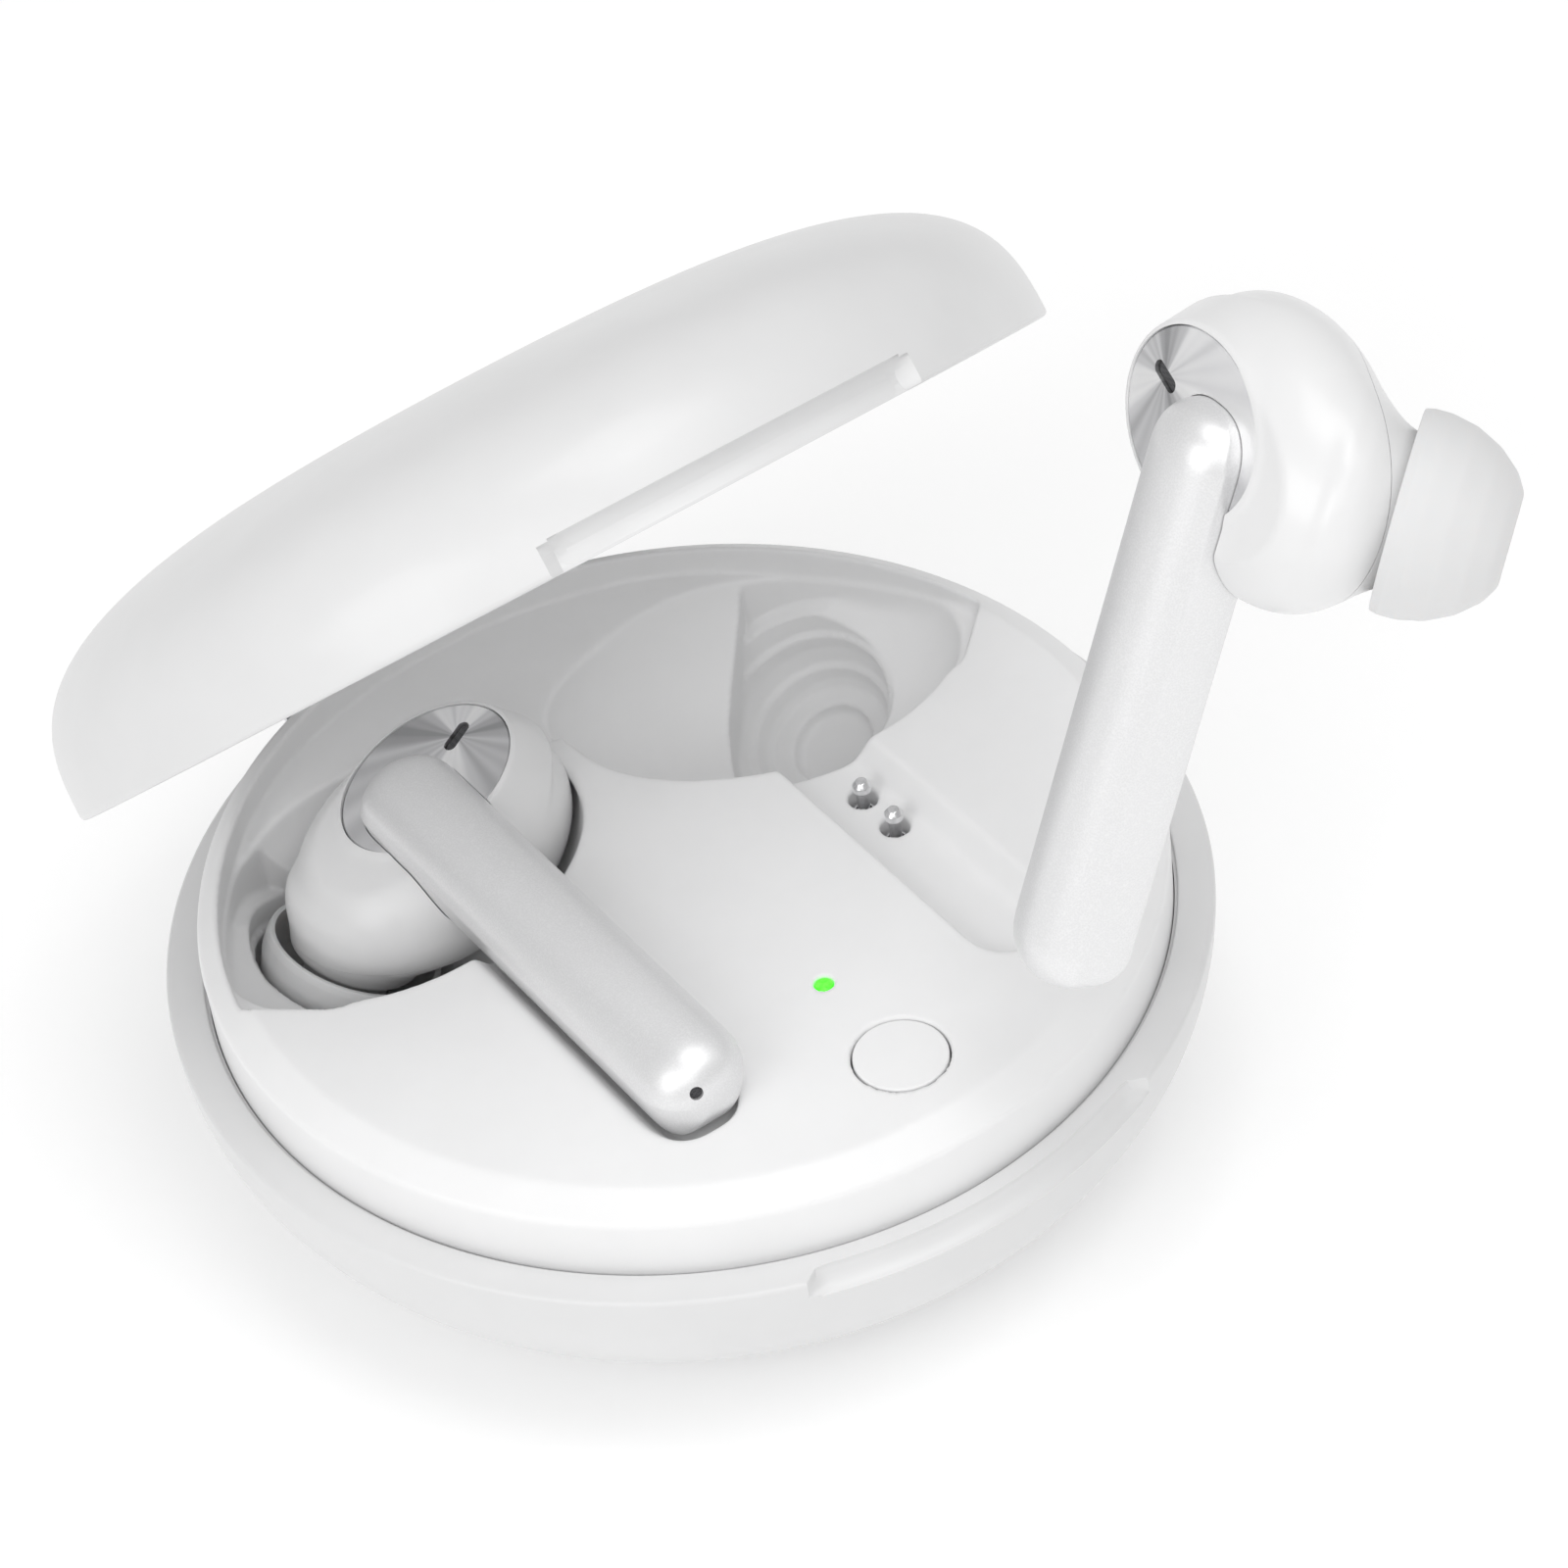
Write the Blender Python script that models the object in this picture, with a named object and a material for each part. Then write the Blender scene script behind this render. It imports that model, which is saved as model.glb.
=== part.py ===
"""Round charging case with two stemmed wireless earbuds.

Frame: the case stands on z = 0, +Z up, the hinge at the back (+Y), the finger scoop and the
button at the front (-Y).  The lid stands open, the left bud (-X) lies in its well and the
right bud is held above the front of the case, its metal plate toward -X.

Sizes are in millimetres.  Heights in the case are measured from the parting plane between
base and lid.  A bud is described where it lies docked on the right-hand side.
"""
import math

import bmesh
import bpy
from mathutils import Matrix, Vector

MM = 0.001             # one millimetre in metres

# ---- driving dimensions -----------------------------------------------------------------------
PART_Z = 15.2          # height of the parting plane above the table
CASE_R = 33.0          # outer radius at the parting plane
BASE_WALL = 1.3
LID_OPEN_DEG = 43.2
HINGE_Y = 32.2
HINGE_W = 20.0
DECK_Z = 4.7           # top of the tray
COLLAR_R = 30.35       # outer radius of the tray
PIN_X = 12.3
PIN_ROWS = (("rear", -2.3), ("front", -5.7))     # name, y
BUTTON_Y, BUTTON_R = -23.2, 2.9
LED_Y, LED_R = -15.4, 0.55
SIDES = ((1, "right"), (-1, "left"))             # sign of x, name
CASE_SEGS = 56

# the bud's egg-shaped head, which also shapes the tray
HEAD_C = Vector((10.51, 12.63, 2.39))
HEAD_SEMI = (10.1, 7.79, 5.65)
HEAD_TURN = Matrix((
    (0.9647, 0.2276, 0.1326),
    (-0.2300, 0.9732, 0.0024),
    (-0.1285, -0.0328, 0.9912),
)).to_4x4()

for old in list(bpy.data.objects):
    bpy.data.objects.remove(old, do_unlink=True)


# ---- materials --------------------------------------------------------------------------------
def material(name, colour, roughness, metallic=0.0, emission=None):
    mat = bpy.data.materials.new(name)
    mat.use_nodes = True
    inputs = mat.node_tree.nodes["Principled BSDF"].inputs
    inputs["Base Color"].default_value = (*colour, 1.0)
    inputs["Roughness"].default_value = roughness
    inputs["Metallic"].default_value = metallic
    if emission:
        inputs["Emission Color"].default_value = (*emission, 1.0)
        inputs["Emission Strength"].default_value = 1.0
    mat.diffuse_color = (*colour, 1.0)
    return mat


SHELL = material("case_white", colour=(0.83, 0.83, 0.835), roughness=0.32)
TRAY = material("tray_white", colour=(0.80, 0.80, 0.81), roughness=0.42)
BUD = material("bud_white", colour=(0.84, 0.84, 0.85), roughness=0.22)
PEARL = material("stem_pearl", colour=(0.80, 0.80, 0.81), roughness=0.28)
PLATE = material("brushed_plate", colour=(0.62, 0.62, 0.64), roughness=0.3, metallic=1.0)
SILICONE = material("silicone", colour=(0.82, 0.82, 0.82), roughness=0.55)
DARK_MESH = material("mesh_dark", colour=(0.03, 0.03, 0.035), roughness=0.6, metallic=0.4)
STEEL = material("steel", colour=(0.6, 0.6, 0.62), roughness=0.3, metallic=1.0)
GOLD = material("contact_gold", colour=(0.83, 0.62, 0.3), roughness=0.25, metallic=1.0)
MAGNET = material("magnet_nickel", colour=(0.55, 0.55, 0.56), roughness=0.35, metallic=1.0)
BOARD = material("board_green", colour=(0.03, 0.16, 0.09), roughness=0.5)
FOIL = material("cell_foil", colour=(0.45, 0.46, 0.48), roughness=0.4, metallic=0.6)
BLACK = material("moulded_black", colour=(0.03, 0.03, 0.03), roughness=0.5)
LENS = material("status_green", colour=(0.05, 0.75, 0.12), roughness=0.3,
                emission=(0.03, 0.85, 0.08))
LED_BODY = material("led_body", colour=(0.85, 0.85, 0.8), roughness=0.4)


# ---- objects and modifiers --------------------------------------------------------------------
def add(name, mesh, mat=None, smooth=None):
    """Link a mesh as an object; without a material it is a hidden boolean helper."""
    bmesh.ops.remove_doubles(mesh, verts=mesh.verts, dist=1e-7)
    bmesh.ops.recalc_face_normals(mesh, faces=mesh.faces)
    data = bpy.data.meshes.new(name)
    mesh.to_mesh(data)
    mesh.free()
    ob = bpy.data.objects.new(name, data)
    bpy.context.scene.collection.objects.link(ob)
    if mat:
        data.materials.append(mat)
    else:
        ob.hide_render = True
        ob.display_type = 'WIRE'
    if smooth:
        data.shade_smooth()
        data.set_sharp_from_angle(angle=math.radians(smooth))
    return ob


def combine(ob, *tools, op='DIFFERENCE'):
    for tool in tools:
        mod = ob.modifiers.new("cut_" + tool.name[:40], 'BOOLEAN')
        mod.operation = op
        mod.solver = 'EXACT'
        mod.object = tool


# ---- frames -----------------------------------------------------------------------------------
def level(z):
    """Height above the table of a height above the parting plane."""
    return PART_Z + z


def at(x, y, z):
    return Matrix.Translation(Vector((x, y, z)) * MM)


def along(axis, origin):
    """Matrix taking +Z to the axis, with its origin at a point in millimetres."""
    turn = Vector((0, 0, 1)).rotation_difference(Vector(axis))
    return at(*origin) @ turn.to_matrix().to_4x4()


def shift(mesh, matrix, flip=False):
    bmesh.ops.transform(mesh, matrix=matrix, verts=mesh.verts)
    if flip:
        bmesh.ops.reverse_faces(mesh, faces=mesh.faces)
    return mesh


PARTING = at(0, 0, PART_Z)
HINGE_AXIS = along((1, 0, 0), (0, HINGE_Y, PART_Z))
OPEN = (at(0, HINGE_Y, PART_Z) @ Matrix.Rotation(-math.radians(LID_OPEN_DEG), 4, 'X')
        @ at(0, -HINGE_Y, -PART_Z))


def opened(mesh):
    """Turn a mesh modelled on the closed lid about the hinge."""
    return shift(mesh, OPEN)


# ---- solids -----------------------------------------------------------------------------------
def lathe(points, segs, matrix=None):
    """Spin a half profile of (radius, height) about Z; open ends lie on the axis."""
    mesh = bmesh.new()
    verts = [mesh.verts.new((radius * MM, 0.0, z * MM)) for radius, z in points]
    edges = [mesh.edges.new(pair) for pair in zip(verts, verts[1:])]
    if points[0][0] > 1e-6:
        edges.append(mesh.edges.new((verts[-1], verts[0])))
    bmesh.ops.spin(mesh, geom=verts + edges, cent=(0, 0, 0), axis=(0, 0, 1),
                   angle=2 * math.pi, steps=segs, use_merge=True)
    bmesh.ops.remove_doubles(mesh, verts=mesh.verts, dist=2e-6)
    loose = [edge for edge in mesh.edges if not edge.link_faces]
    bmesh.ops.delete(mesh, geom=loose, context='EDGES')
    if matrix is not None:
        shift(mesh, matrix)
    return mesh


def rod(radius, z0, z1, segs, matrix=None, edge=0.0):
    """Solid cylinder along Z, its rims chamfered by edge."""
    if edge:
        points = [(0, z0), (radius - edge, z0), (radius, z0 + edge),
                  (radius, z1 - edge), (radius - edge, z1), (0, z1)]
    else:
        points = [(0, z0), (radius, z0), (radius, z1), (0, z1)]
    return lathe(points, segs, matrix)


def box(x_span, y_span, z_span, edge=0.0, base_z=PART_Z):
    """Box between (low, high) spans, z counted from base_z, its edges bevelled by edge."""
    z_span = (base_z + z_span[0], base_z + z_span[1])
    spans = (x_span, y_span, z_span)
    size = Vector([high - low for low, high in spans]) * MM
    centre = Vector([low + high for low, high in spans]) * (0.5 * MM)
    mesh = bmesh.new()
    bmesh.ops.create_cube(mesh, size=1.0)
    shift(mesh, Matrix.Translation(centre) @ Matrix.Diagonal((*size, 1.0)))
    if edge:
        bmesh.ops.bevel(mesh, geom=list(mesh.edges), offset=edge * MM, segments=1, affect='EDGES')
    return mesh


def loft(rings):
    """Closed body through rings of equal count; a ring of one point closes an end."""
    mesh = bmesh.new()
    rows = [[mesh.verts.new(Vector(point) * MM) for point in ring] for ring in rings]
    for low, high in zip(rows, rows[1:]):
        count = max(len(low), len(high))
        for i in range(count):
            j = (i + 1) % count
            if len(low) == 1:
                mesh.faces.new((low[0], high[i], high[j]))
            elif len(high) == 1:
                mesh.faces.new((low[i], low[j], high[0]))
            else:
                mesh.faces.new((low[i], low[j], high[j], high[i]))
    for row in (rows[0], rows[-1]):
        if len(row) > 1:
            mesh.faces.new(row)
    return mesh


def power(value, exponent):
    return math.copysign(abs(value) ** exponent, value)


def circle_angles(count):
    return [2 * math.pi * i / count for i in range(count)]


def oval(half_x, half_y, squareness, count):
    """Superellipse outline; a squareness of 2 is a plain ellipse."""
    return [(half_x * power(math.cos(t), 2 / squareness),
             half_y * power(math.sin(t), 2 / squareness)) for t in circle_angles(count)]


def half_ellipsoid(semi, top, matrix, segs, rows):
    """Lower half of an ellipsoid with a straight collar rising to top."""
    angles = [math.pi / 2 * i / rows for i in range(1, rows + 1)]
    points = [(0, -1.0)] + [(math.sin(t), -math.cos(t)) for t in angles]
    points += [(1.0, top / semi[2]), (0, top / semi[2])]
    return lathe(points, segs, matrix @ Matrix.Diagonal((*semi, 1.0)))


def head_ellipsoid(grow, segs, rows):
    """The bud's head, its semi-axes enlarged by grow."""
    points = [(math.sin(math.pi * i / rows) if 0 < i < rows else 0.0,
               -math.cos(math.pi * i / rows)) for i in range(rows + 1)]
    scale = Matrix.Diagonal((*[semi + grow for semi in HEAD_SEMI], 1.0))
    return lathe(points, segs, at(*HEAD_C) @ HEAD_TURN @ scale)


# ---- cutters shared by base and lid -----------------------------------------------------------
SCOOP_DEG = 21.0       # half the angle the finger scoop spans
SCOOP_R = 1.35
SCOOP_STEPS, SCOOP_CAP_STEPS, SCOOP_SEGS = 14, 4, 12
HINGE_CLEAR_R = 1.66
HINGE_CLEAR_END = HINGE_W / 2 + 0.6


def scoop(path_r, path_z):
    """Curved finger scoop: a round bar bent along the front rim, with ball ends."""
    half = math.radians(SCOOP_DEG)
    cap = [math.pi / 2 * k / SCOOP_CAP_STEPS for k in range(SCOOP_CAP_STEPS + 1)]
    # stations: angle along the rim, offset along the tangent, scale of the section
    stations = [(-half, -SCOOP_R * math.cos(t), math.sin(t)) for t in cap[:-1]]
    stations += [(-half + 2 * half * i / SCOOP_STEPS, 0.0, 1.0) for i in range(SCOOP_STEPS + 1)]
    stations += [(half, SCOOP_R * math.sin(t), math.cos(t)) for t in cap[1:]]
    up = Vector((0, 0, 1))
    rings = []
    for angle, offset, scale in stations:
        outward = Vector((math.sin(angle), -math.cos(angle), 0))
        tangent = Vector((math.cos(angle), math.sin(angle), 0))
        centre = outward * path_r + up * level(path_z) + tangent * offset
        if scale < 1e-6:
            rings.append([centre])
        else:
            rings.append([centre + (outward * math.cos(t) + up * math.sin(t)) * (SCOOP_R * scale)
                          for t in circle_angles(SCOOP_SEGS)])
    return loft(rings)


def hinge_clearance():
    return rod(HINGE_CLEAR_R, -HINGE_CLEAR_END, HINGE_CLEAR_END, 28, HINGE_AXIS)


# ---- base shell -------------------------------------------------------------------------------
BOWL_DEPTH = 18.0      # depth of the full bowl curve, cut off flat at the table
BOWL_POWER = 2.3
LIP_INNER_R = 30.7
LIP_TOP = -0.25
INNER_MAX_R = 31.2
FLOOR_R, FLOOR_Z = 17.0, -13.9
OUTER_LEVELS = (-13.2, -10.8, -7.8, -4.4, -0.95)
INNER_LEVELS = (-3.2, -7.6, -11.2, -12.9)
USB_Z = -6.1


def bowl_r(z):
    return CASE_R * (1 - (abs(z) / BOWL_DEPTH) ** BOWL_POWER) ** (1 / BOWL_POWER)


def usb_oval(half_x, half_z, y_span):
    outline = oval(half_x, half_z, 4.0, 24)
    return loft([[(x, y, level(USB_Z) + z) for x, z in outline] for y in y_span])


def base_profile():
    outer = [(0, -PART_Z), (bowl_r(-PART_Z) - 1.6, -PART_Z), (bowl_r(-14.6) - 0.15, -14.75)]
    outer += [(bowl_r(z), z) for z in OUTER_LEVELS]
    outer += [(CASE_R - 0.12, -0.5), (CASE_R - 0.6, LIP_TOP)]
    inner = [(LIP_INNER_R + 0.4, LIP_TOP), (LIP_INNER_R, LIP_TOP - 0.3), (LIP_INNER_R, -2.2)]
    inner += [(min(bowl_r(z) - BASE_WALL, INNER_MAX_R), z) for z in INNER_LEVELS]
    return outer + inner + [(FLOOR_R, FLOOR_Z), (0, FLOOR_Z)]


base = add("base_shell", lathe(base_profile(), CASE_SEGS, PARTING), SHELL, 35)
combine(base,
        add("cut_base_scoop", scoop(CASE_R + 0.55, -0.05)),
        add("cut_usb", usb_oval(4.75, 1.75, (27.0, 36.0))),
        add("cut_hinge", hinge_clearance()))

# ---- inner tray -------------------------------------------------------------------------------
SKIRT_Z = -1.6
SKIRT_WALL = 1.7
TRAY_UNDER_Z = 0.8
RECESS_R = 28.9
RECESS_Y = 4.0         # where the sloping recess floor meets the deck
RECESS_SLOPE = 0.115
RECESS_HALF_H = 3.0
WELL_X, WELL_Y, WELL_TURN = 13.8, 11.45, -13.0
WELL_A, WELL_B, WELL_DEPTH = 13.95, 10.7, 8.9    # semi-axes in plan, depth
WELL_WALL = 1.2
BOSS_INSET = 0.3       # taken off the boss's semi-axes in plan
TIP_WELL = (17.9, 12.9, -3.6)
TIP_WELL_R = 7.0
HEAD_GAP = 0.35
CHANNEL_BACK = 6.0     # y of the square back end
CHANNEL_IN = 8.9       # x of the upright inner side
CHANNEL_END = -17.0    # y where the rounded front end begins
CHANNEL_END_B = 4.3    # length of the rounded end at deck height
CHANNEL_END_TAPER = 0.25
# height, x of the slanted outer side
CHANNEL_LEVELS = ((3.0, 14.0), (DECK_Z, 15.4), (DECK_Z + 1.6, 15.4 + 1.2))
PIN_HOLE_R = 0.95
TRIM_R = COLLAR_R + 8
TRIM_LEVELS = (-2.6, -5.4, -7.6, -9.4, -11.2, -12.9)

TRAY_PROFILE = [       # radius, height
    (0, DECK_Z), (28.0, DECK_Z), (28.6, DECK_Z - 0.12), (30.1, DECK_Z - 1.0),
    (COLLAR_R, DECK_Z - 1.45), (COLLAR_R, SKIRT_Z), (COLLAR_R - SKIRT_WALL, SKIRT_Z),
    (COLLAR_R - SKIRT_WALL, TRAY_UNDER_Z), (0, TRAY_UNDER_Z)]


def well_frame(side):
    turn = Matrix.Rotation(math.radians(WELL_TURN) * side, 4, 'Z')
    return at(WELL_X * side, WELL_Y, level(DECK_Z)) @ turn


def tip_frame(side):
    x, y, z = TIP_WELL
    return at(x * side, y, level(z))


def well_bosses(side, tag):
    """Material under the deck around the head well and the tip well."""
    grow = WELL_WALL - BOSS_INSET
    semi = (WELL_A + grow, WELL_B + grow, WELL_DEPTH + WELL_WALL)
    frame = at(-0.5 * side, -0.4, -1.6) @ well_frame(side)
    tip_semi = (TIP_WELL_R + WELL_WALL,) * 3
    return (add("boss_well_" + tag, half_ellipsoid(semi, 1.0, frame, 24, 4)),
            add("boss_tip_" + tag, half_ellipsoid(tip_semi, 4.9, tip_frame(side), 20, 4)))


def trim_ring():
    """Ring that keeps the bosses clear of the inside of the bowl."""
    inside = [(min(bowl_r(z) - BASE_WALL - 0.4, COLLAR_R + 0.3), z) for z in TRIM_LEVELS]
    outside = [(TRIM_R, -2.6), (TRIM_R, -14.5), (12.0, -14.5), (12.0, -13.4)]
    return lathe(outside + inside[::-1], CASE_SEGS, PARTING)


def recess():
    """Crescent recess: round in plan, its floor falling away toward the hinge."""
    mesh = rod(RECESS_R, -RECESS_HALF_H, RECESS_HALF_H, CASE_SEGS)
    for vert in mesh.verts:
        if vert.co.z < 0:
            fall = (vert.co.y / MM - RECESS_Y) * RECESS_SLOPE
            vert.co.z = -max(-RECESS_HALF_H, fall) * MM
    return shift(mesh, at(0, 0, level(DECK_Z)))


def stem_channel(side):
    """Stem channel: slanted outer side, rounded front end."""
    rings = []
    for z, outer_x in CHANNEL_LEVELS:
        middle, half = (CHANNEL_IN + outer_x) / 2, (outer_x - CHANNEL_IN) / 2
        end = CHANNEL_END_B - (DECK_Z - z) * CHANNEL_END_TAPER
        ring = [(CHANNEL_IN, CHANNEL_BACK), (outer_x, CHANNEL_BACK)]
        for t in [math.pi * k / 8 for k in range(9)]:
            ring.append((middle + half * power(math.cos(t), 0.8),
                         CHANNEL_END - end * power(math.sin(t), 0.8)))
        rings.append([(x * side, y, level(z)) for x, y in ring])
    return loft(rings)


def bud_cutters(side, tag):
    """Everything cut from the tray for one bud, the pin holes last."""
    semi = (WELL_A, WELL_B, WELL_DEPTH)
    tip_semi = (TIP_WELL_R,) * 3
    room = shift(head_ellipsoid(HEAD_GAP, 28, 10),
                 PARTING @ Matrix.Diagonal((side, 1, 1, 1)), side < 0)
    cutters = [
        add("cut_well_" + tag, half_ellipsoid(semi, 2.0, well_frame(side), 40, 6)),
        add("cut_tip_well_" + tag, half_ellipsoid(tip_semi, 9.5, tip_frame(side), 28, 5)),
        add("cut_head_room_" + tag, room),
        add("cut_channel_" + tag, stem_channel(side))]
    for k, (_, y) in enumerate(PIN_ROWS):
        hole = rod(PIN_HOLE_R, -2, 5, 16, at(PIN_X * side, y, PART_Z))
        cutters.append(add(f"cut_pin_{tag}_{k}", hole))
    return cutters


tray = add("inner_tray", lathe(TRAY_PROFILE, CASE_SEGS, PARTING), TRAY, 30)
for side, tag in SIDES:
    combine(tray, *well_bosses(side, tag), op='UNION')
combine(tray, add("trim_ring", trim_ring()), add("cut_recess", recess()))
for side, tag in SIDES:
    combine(tray, *bud_cutters(side, tag))
combine(tray,
        add("cut_button", rod(BUTTON_R + 0.12, -2, 6, 32, at(0, BUTTON_Y, PART_Z))),
        add("cut_led", rod(LED_R + 0.08, -2, 6, 16, at(0, LED_Y, PART_Z))))

# ---- inside the base --------------------------------------------------------------------------
BOARD_BOTTOM, BOARD_TOP = -4.2, -3.3
ON_BOARD_Z = BOARD_TOP + 0.05
BOARD_R, BOARD_ARC_Y = 25.6, -1.0
SWITCH_HALF = 2.2
BUTTON_TOP = DECK_Z - 0.04
BUTTON_UNDER = 3.1
STALK_R, STALK_Z = 0.9, 1.75
PIN_PRESSED = 1.25     # travel of the pins under the docked left bud
BUD_MAGNET_X, BUD_MAGNET_Y = 12.2, -13.0

BARREL_PROFILE = [     # radius, height
    (0.0, ON_BOARD_Z), (0.8, ON_BOARD_Z), (0.8, 1.9), (0.52, 1.9), (0.52, -2.6), (0.0, -2.6)]
PIN_PROFILE = [        # radius, height when released
    (0, -0.4), (0.4, -0.4), (0.4, 3.9), (0.5, 3.95), (0.52, 4.25), (0.4, 4.45), (0, 4.5)]
BUTTON_PROFILE = [     # radius, height
    (0, STALK_Z), (STALK_R, STALK_Z), (STALK_R, BUTTON_UNDER), (BUTTON_R, BUTTON_UNDER),
    (BUTTON_R, DECK_Z - 0.22), (BUTTON_R - 0.2, BUTTON_TOP), (0, BUTTON_TOP)]


def board_mesh():
    """Board with a straight back edge and a round front."""
    outline = [(-24.0, -2.0), (24.0, -2.0)]
    for i in range(21):
        t = -math.pi * (0.06 + 0.88 * i / 20)
        outline.append((BOARD_R * math.cos(t), BOARD_R * math.sin(t) + BOARD_ARC_Y))
    return loft([[(x, y, level(z)) for x, y in outline] for z in (BOARD_BOTTOM, BOARD_TOP)])


socket = add("usb_c_socket", usb_oval(4.45, 1.5, (24.6, 31.0)), STEEL, 35)
combine(socket, add("cut_socket_bore", usb_oval(4.1, 1.15, (25.4, 32.0))))
tongue = box((-3.3, 3.3), (25.0, 30.0), (USB_Z - 0.35, USB_Z + 0.35))
combine(socket, add("socket_tongue", tongue), op='UNION')

add("battery_cell", box((-13.0, 13.0), (-18.5, -3.5), (-13.2, -8.4), 0.8), FOIL)
add("main_board", board_mesh(), BOARD)
add("function_button", lathe(BUTTON_PROFILE, 36, at(0, BUTTON_Y, PART_Z)), TRAY, 35)
add("tactile_switch", box((-SWITCH_HALF, SWITCH_HALF),
                          (BUTTON_Y - SWITCH_HALF, BUTTON_Y + SWITCH_HALF),
                          (ON_BOARD_Z, 1.35), 0.25), BLACK)
add("status_light_lens", rod(LED_R, -2.3, DECK_Z - 0.05, 16, at(0, LED_Y, PART_Z)), LENS, 35)
add("status_led_chip", box((-0.8, 0.8), (LED_Y - 0.4, LED_Y + 0.4), (ON_BOARD_Z, -2.45)),
    LED_BODY)

for side, tag in SIDES:
    drop = PIN_PRESSED if side < 0 else 0.0
    pin_points = [(radius, z - drop) for radius, z in PIN_PROFILE]
    for which, y in PIN_ROWS:
        pin_frame = at(PIN_X * side, y, PART_Z)
        add(f"pin_barrel_{tag}_{which}", lathe(BARREL_PROFILE, 16, pin_frame), GOLD, 35)
        add(f"charge_pin_{tag}_{which}", lathe(pin_points, 16, pin_frame), GOLD, 35)
    magnet_frame = at(BUD_MAGNET_X * side, BUD_MAGNET_Y, PART_Z)
    add("bud_magnet_" + tag, rod(2.4, -1.1, 0.5, 24, magnet_frame, 0.15), MAGNET, 35)
add("base_latch_magnet", box((-3.5, 3.5), (-28.2, -26.6), (-2.0, 0.5), 0.15), MAGNET)

# ---- hinge ------------------------------------------------------------------------------------
KNUCKLE_R = 1.25
KNUCKLE_BORE_R = 0.75
HINGE_PIN_R = 0.6
HINGE_PIN_END = HINGE_W / 2 - 0.6
BRACKET_HALF = 9.9
KNUCKLE_SPANS = ((-BRACKET_HALF, -4.0), (4.0, BRACKET_HALF))     # x of the base knuckles

add("hinge_pin", rod(HINGE_PIN_R, -HINGE_PIN_END, HINGE_PIN_END, 20, HINGE_AXIS, 0.12), STEEL, 35)
bracket = add("hinge_bracket", box((-BRACKET_HALF, BRACKET_HALF), (30.9, 31.6), (-4.4, -2.35)),
              STEEL, 35)
for k, x_span in enumerate(KNUCKLE_SPANS):
    knuckle = add(f"knuckle_base_{k}", rod(KNUCKLE_R, *x_span, 24, HINGE_AXIS))
    web = add(f"knuckle_web_{k}", box(x_span, (31.0, 31.55), (-4.2, -0.2)))
    combine(bracket, web, knuckle, op='UNION')
combine(bracket, add("cut_bracket_bore", rod(KNUCKLE_BORE_R, -12, 12, 24, HINGE_AXIS)))
# room for the bracket in the base wall
combine(base, add("cut_bracket_slot", box((-10.3, 10.3), (30.2, 31.9), (-4.8, 0.4))))

# ---- lid, modelled closed and then turned open about the hinge --------------------------------
LID_H = 12.9
LID_POWER = 3.09
LID_WALL = 1.0
LID_RIM = 0.1          # height of the rim above the parting plane
LINER_GAP = 0.15
LINER_WALL = 0.55
LINER_LOW = 5.2
LEAF_HALF = 3.6
LEAF_KNUCKLE_HALF = 3.8
LID_MAGNETS = (("left", -32.0), ("right", 32.0))     # name, degrees about Z from the front


def dome_profile(inset, z_low, rows):
    """Lid curve from height z_low up to the axis, drawn in from the outside by inset."""
    radius, height = CASE_R - inset, LID_H - inset
    start = math.asin(min(1.0, (z_low / height) ** (LID_POWER / 2)))
    points = []
    for i in range(rows + 1):
        t = start + (math.pi / 2 - start) * i / rows
        points.append((radius * math.cos(t) ** (2 / LID_POWER) if i < rows else 0.0,
                       height * math.sin(t) ** (2 / LID_POWER)))
    return points


def lid_profile():
    outer = [(CASE_R - 0.45, LID_RIM), (CASE_R - 0.02, LID_RIM + 0.4)] + dome_profile(0, 1.4, 8)
    return outer + dome_profile(LID_WALL, 1.0, 6)[::-1] + [(CASE_R - LID_WALL, LID_RIM)]


def liner_profile():
    inset = LID_WALL + LINER_GAP
    inner = dome_profile(inset + LINER_WALL, LINER_LOW, 6)
    return dome_profile(inset, LINER_LOW, 6) + inner[::-1]


lid_shell = add("lid_shell", opened(lathe(lid_profile(), CASE_SEGS, PARTING)), SHELL, 35)
combine(lid_shell,
        add("cut_lid_scoop", opened(scoop(CASE_R + 0.75, 1.15))),
        add("cut_lid_hinge", hinge_clearance()))
add("lid_liner", opened(lathe(liner_profile(), 48, PARTING)), TRAY, 35)

leaf_x = (-LEAF_HALF, LEAF_HALF)
leaf = add("lid_hinge_leaf", opened(box(leaf_x, (30.78, 31.13), (0.7, 4.4))), STEEL, 35)
leaf_web = add("leaf_web", opened(box(leaf_x, (30.8, 31.6), (0.5, 1.1))))
leaf_knuckle = add("leaf_knuckle", opened(
    rod(KNUCKLE_R, -LEAF_KNUCKLE_HALF, LEAF_KNUCKLE_HALF, 24, HINGE_AXIS)))
combine(leaf, leaf_web, leaf_knuckle, op='UNION')
combine(leaf, add("leaf_bore", opened(rod(KNUCKLE_BORE_R, -6, 6, 24, HINGE_AXIS))))

for which, degrees in LID_MAGNETS:
    magnet = box((-2.2, 2.2), (-31.25, -30.75), (1.6, 4.0))
    shift(magnet, Matrix.Rotation(math.radians(degrees), 4, 'Z'))
    add("lid_magnet_" + which, opened(magnet), MAGNET)

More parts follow.
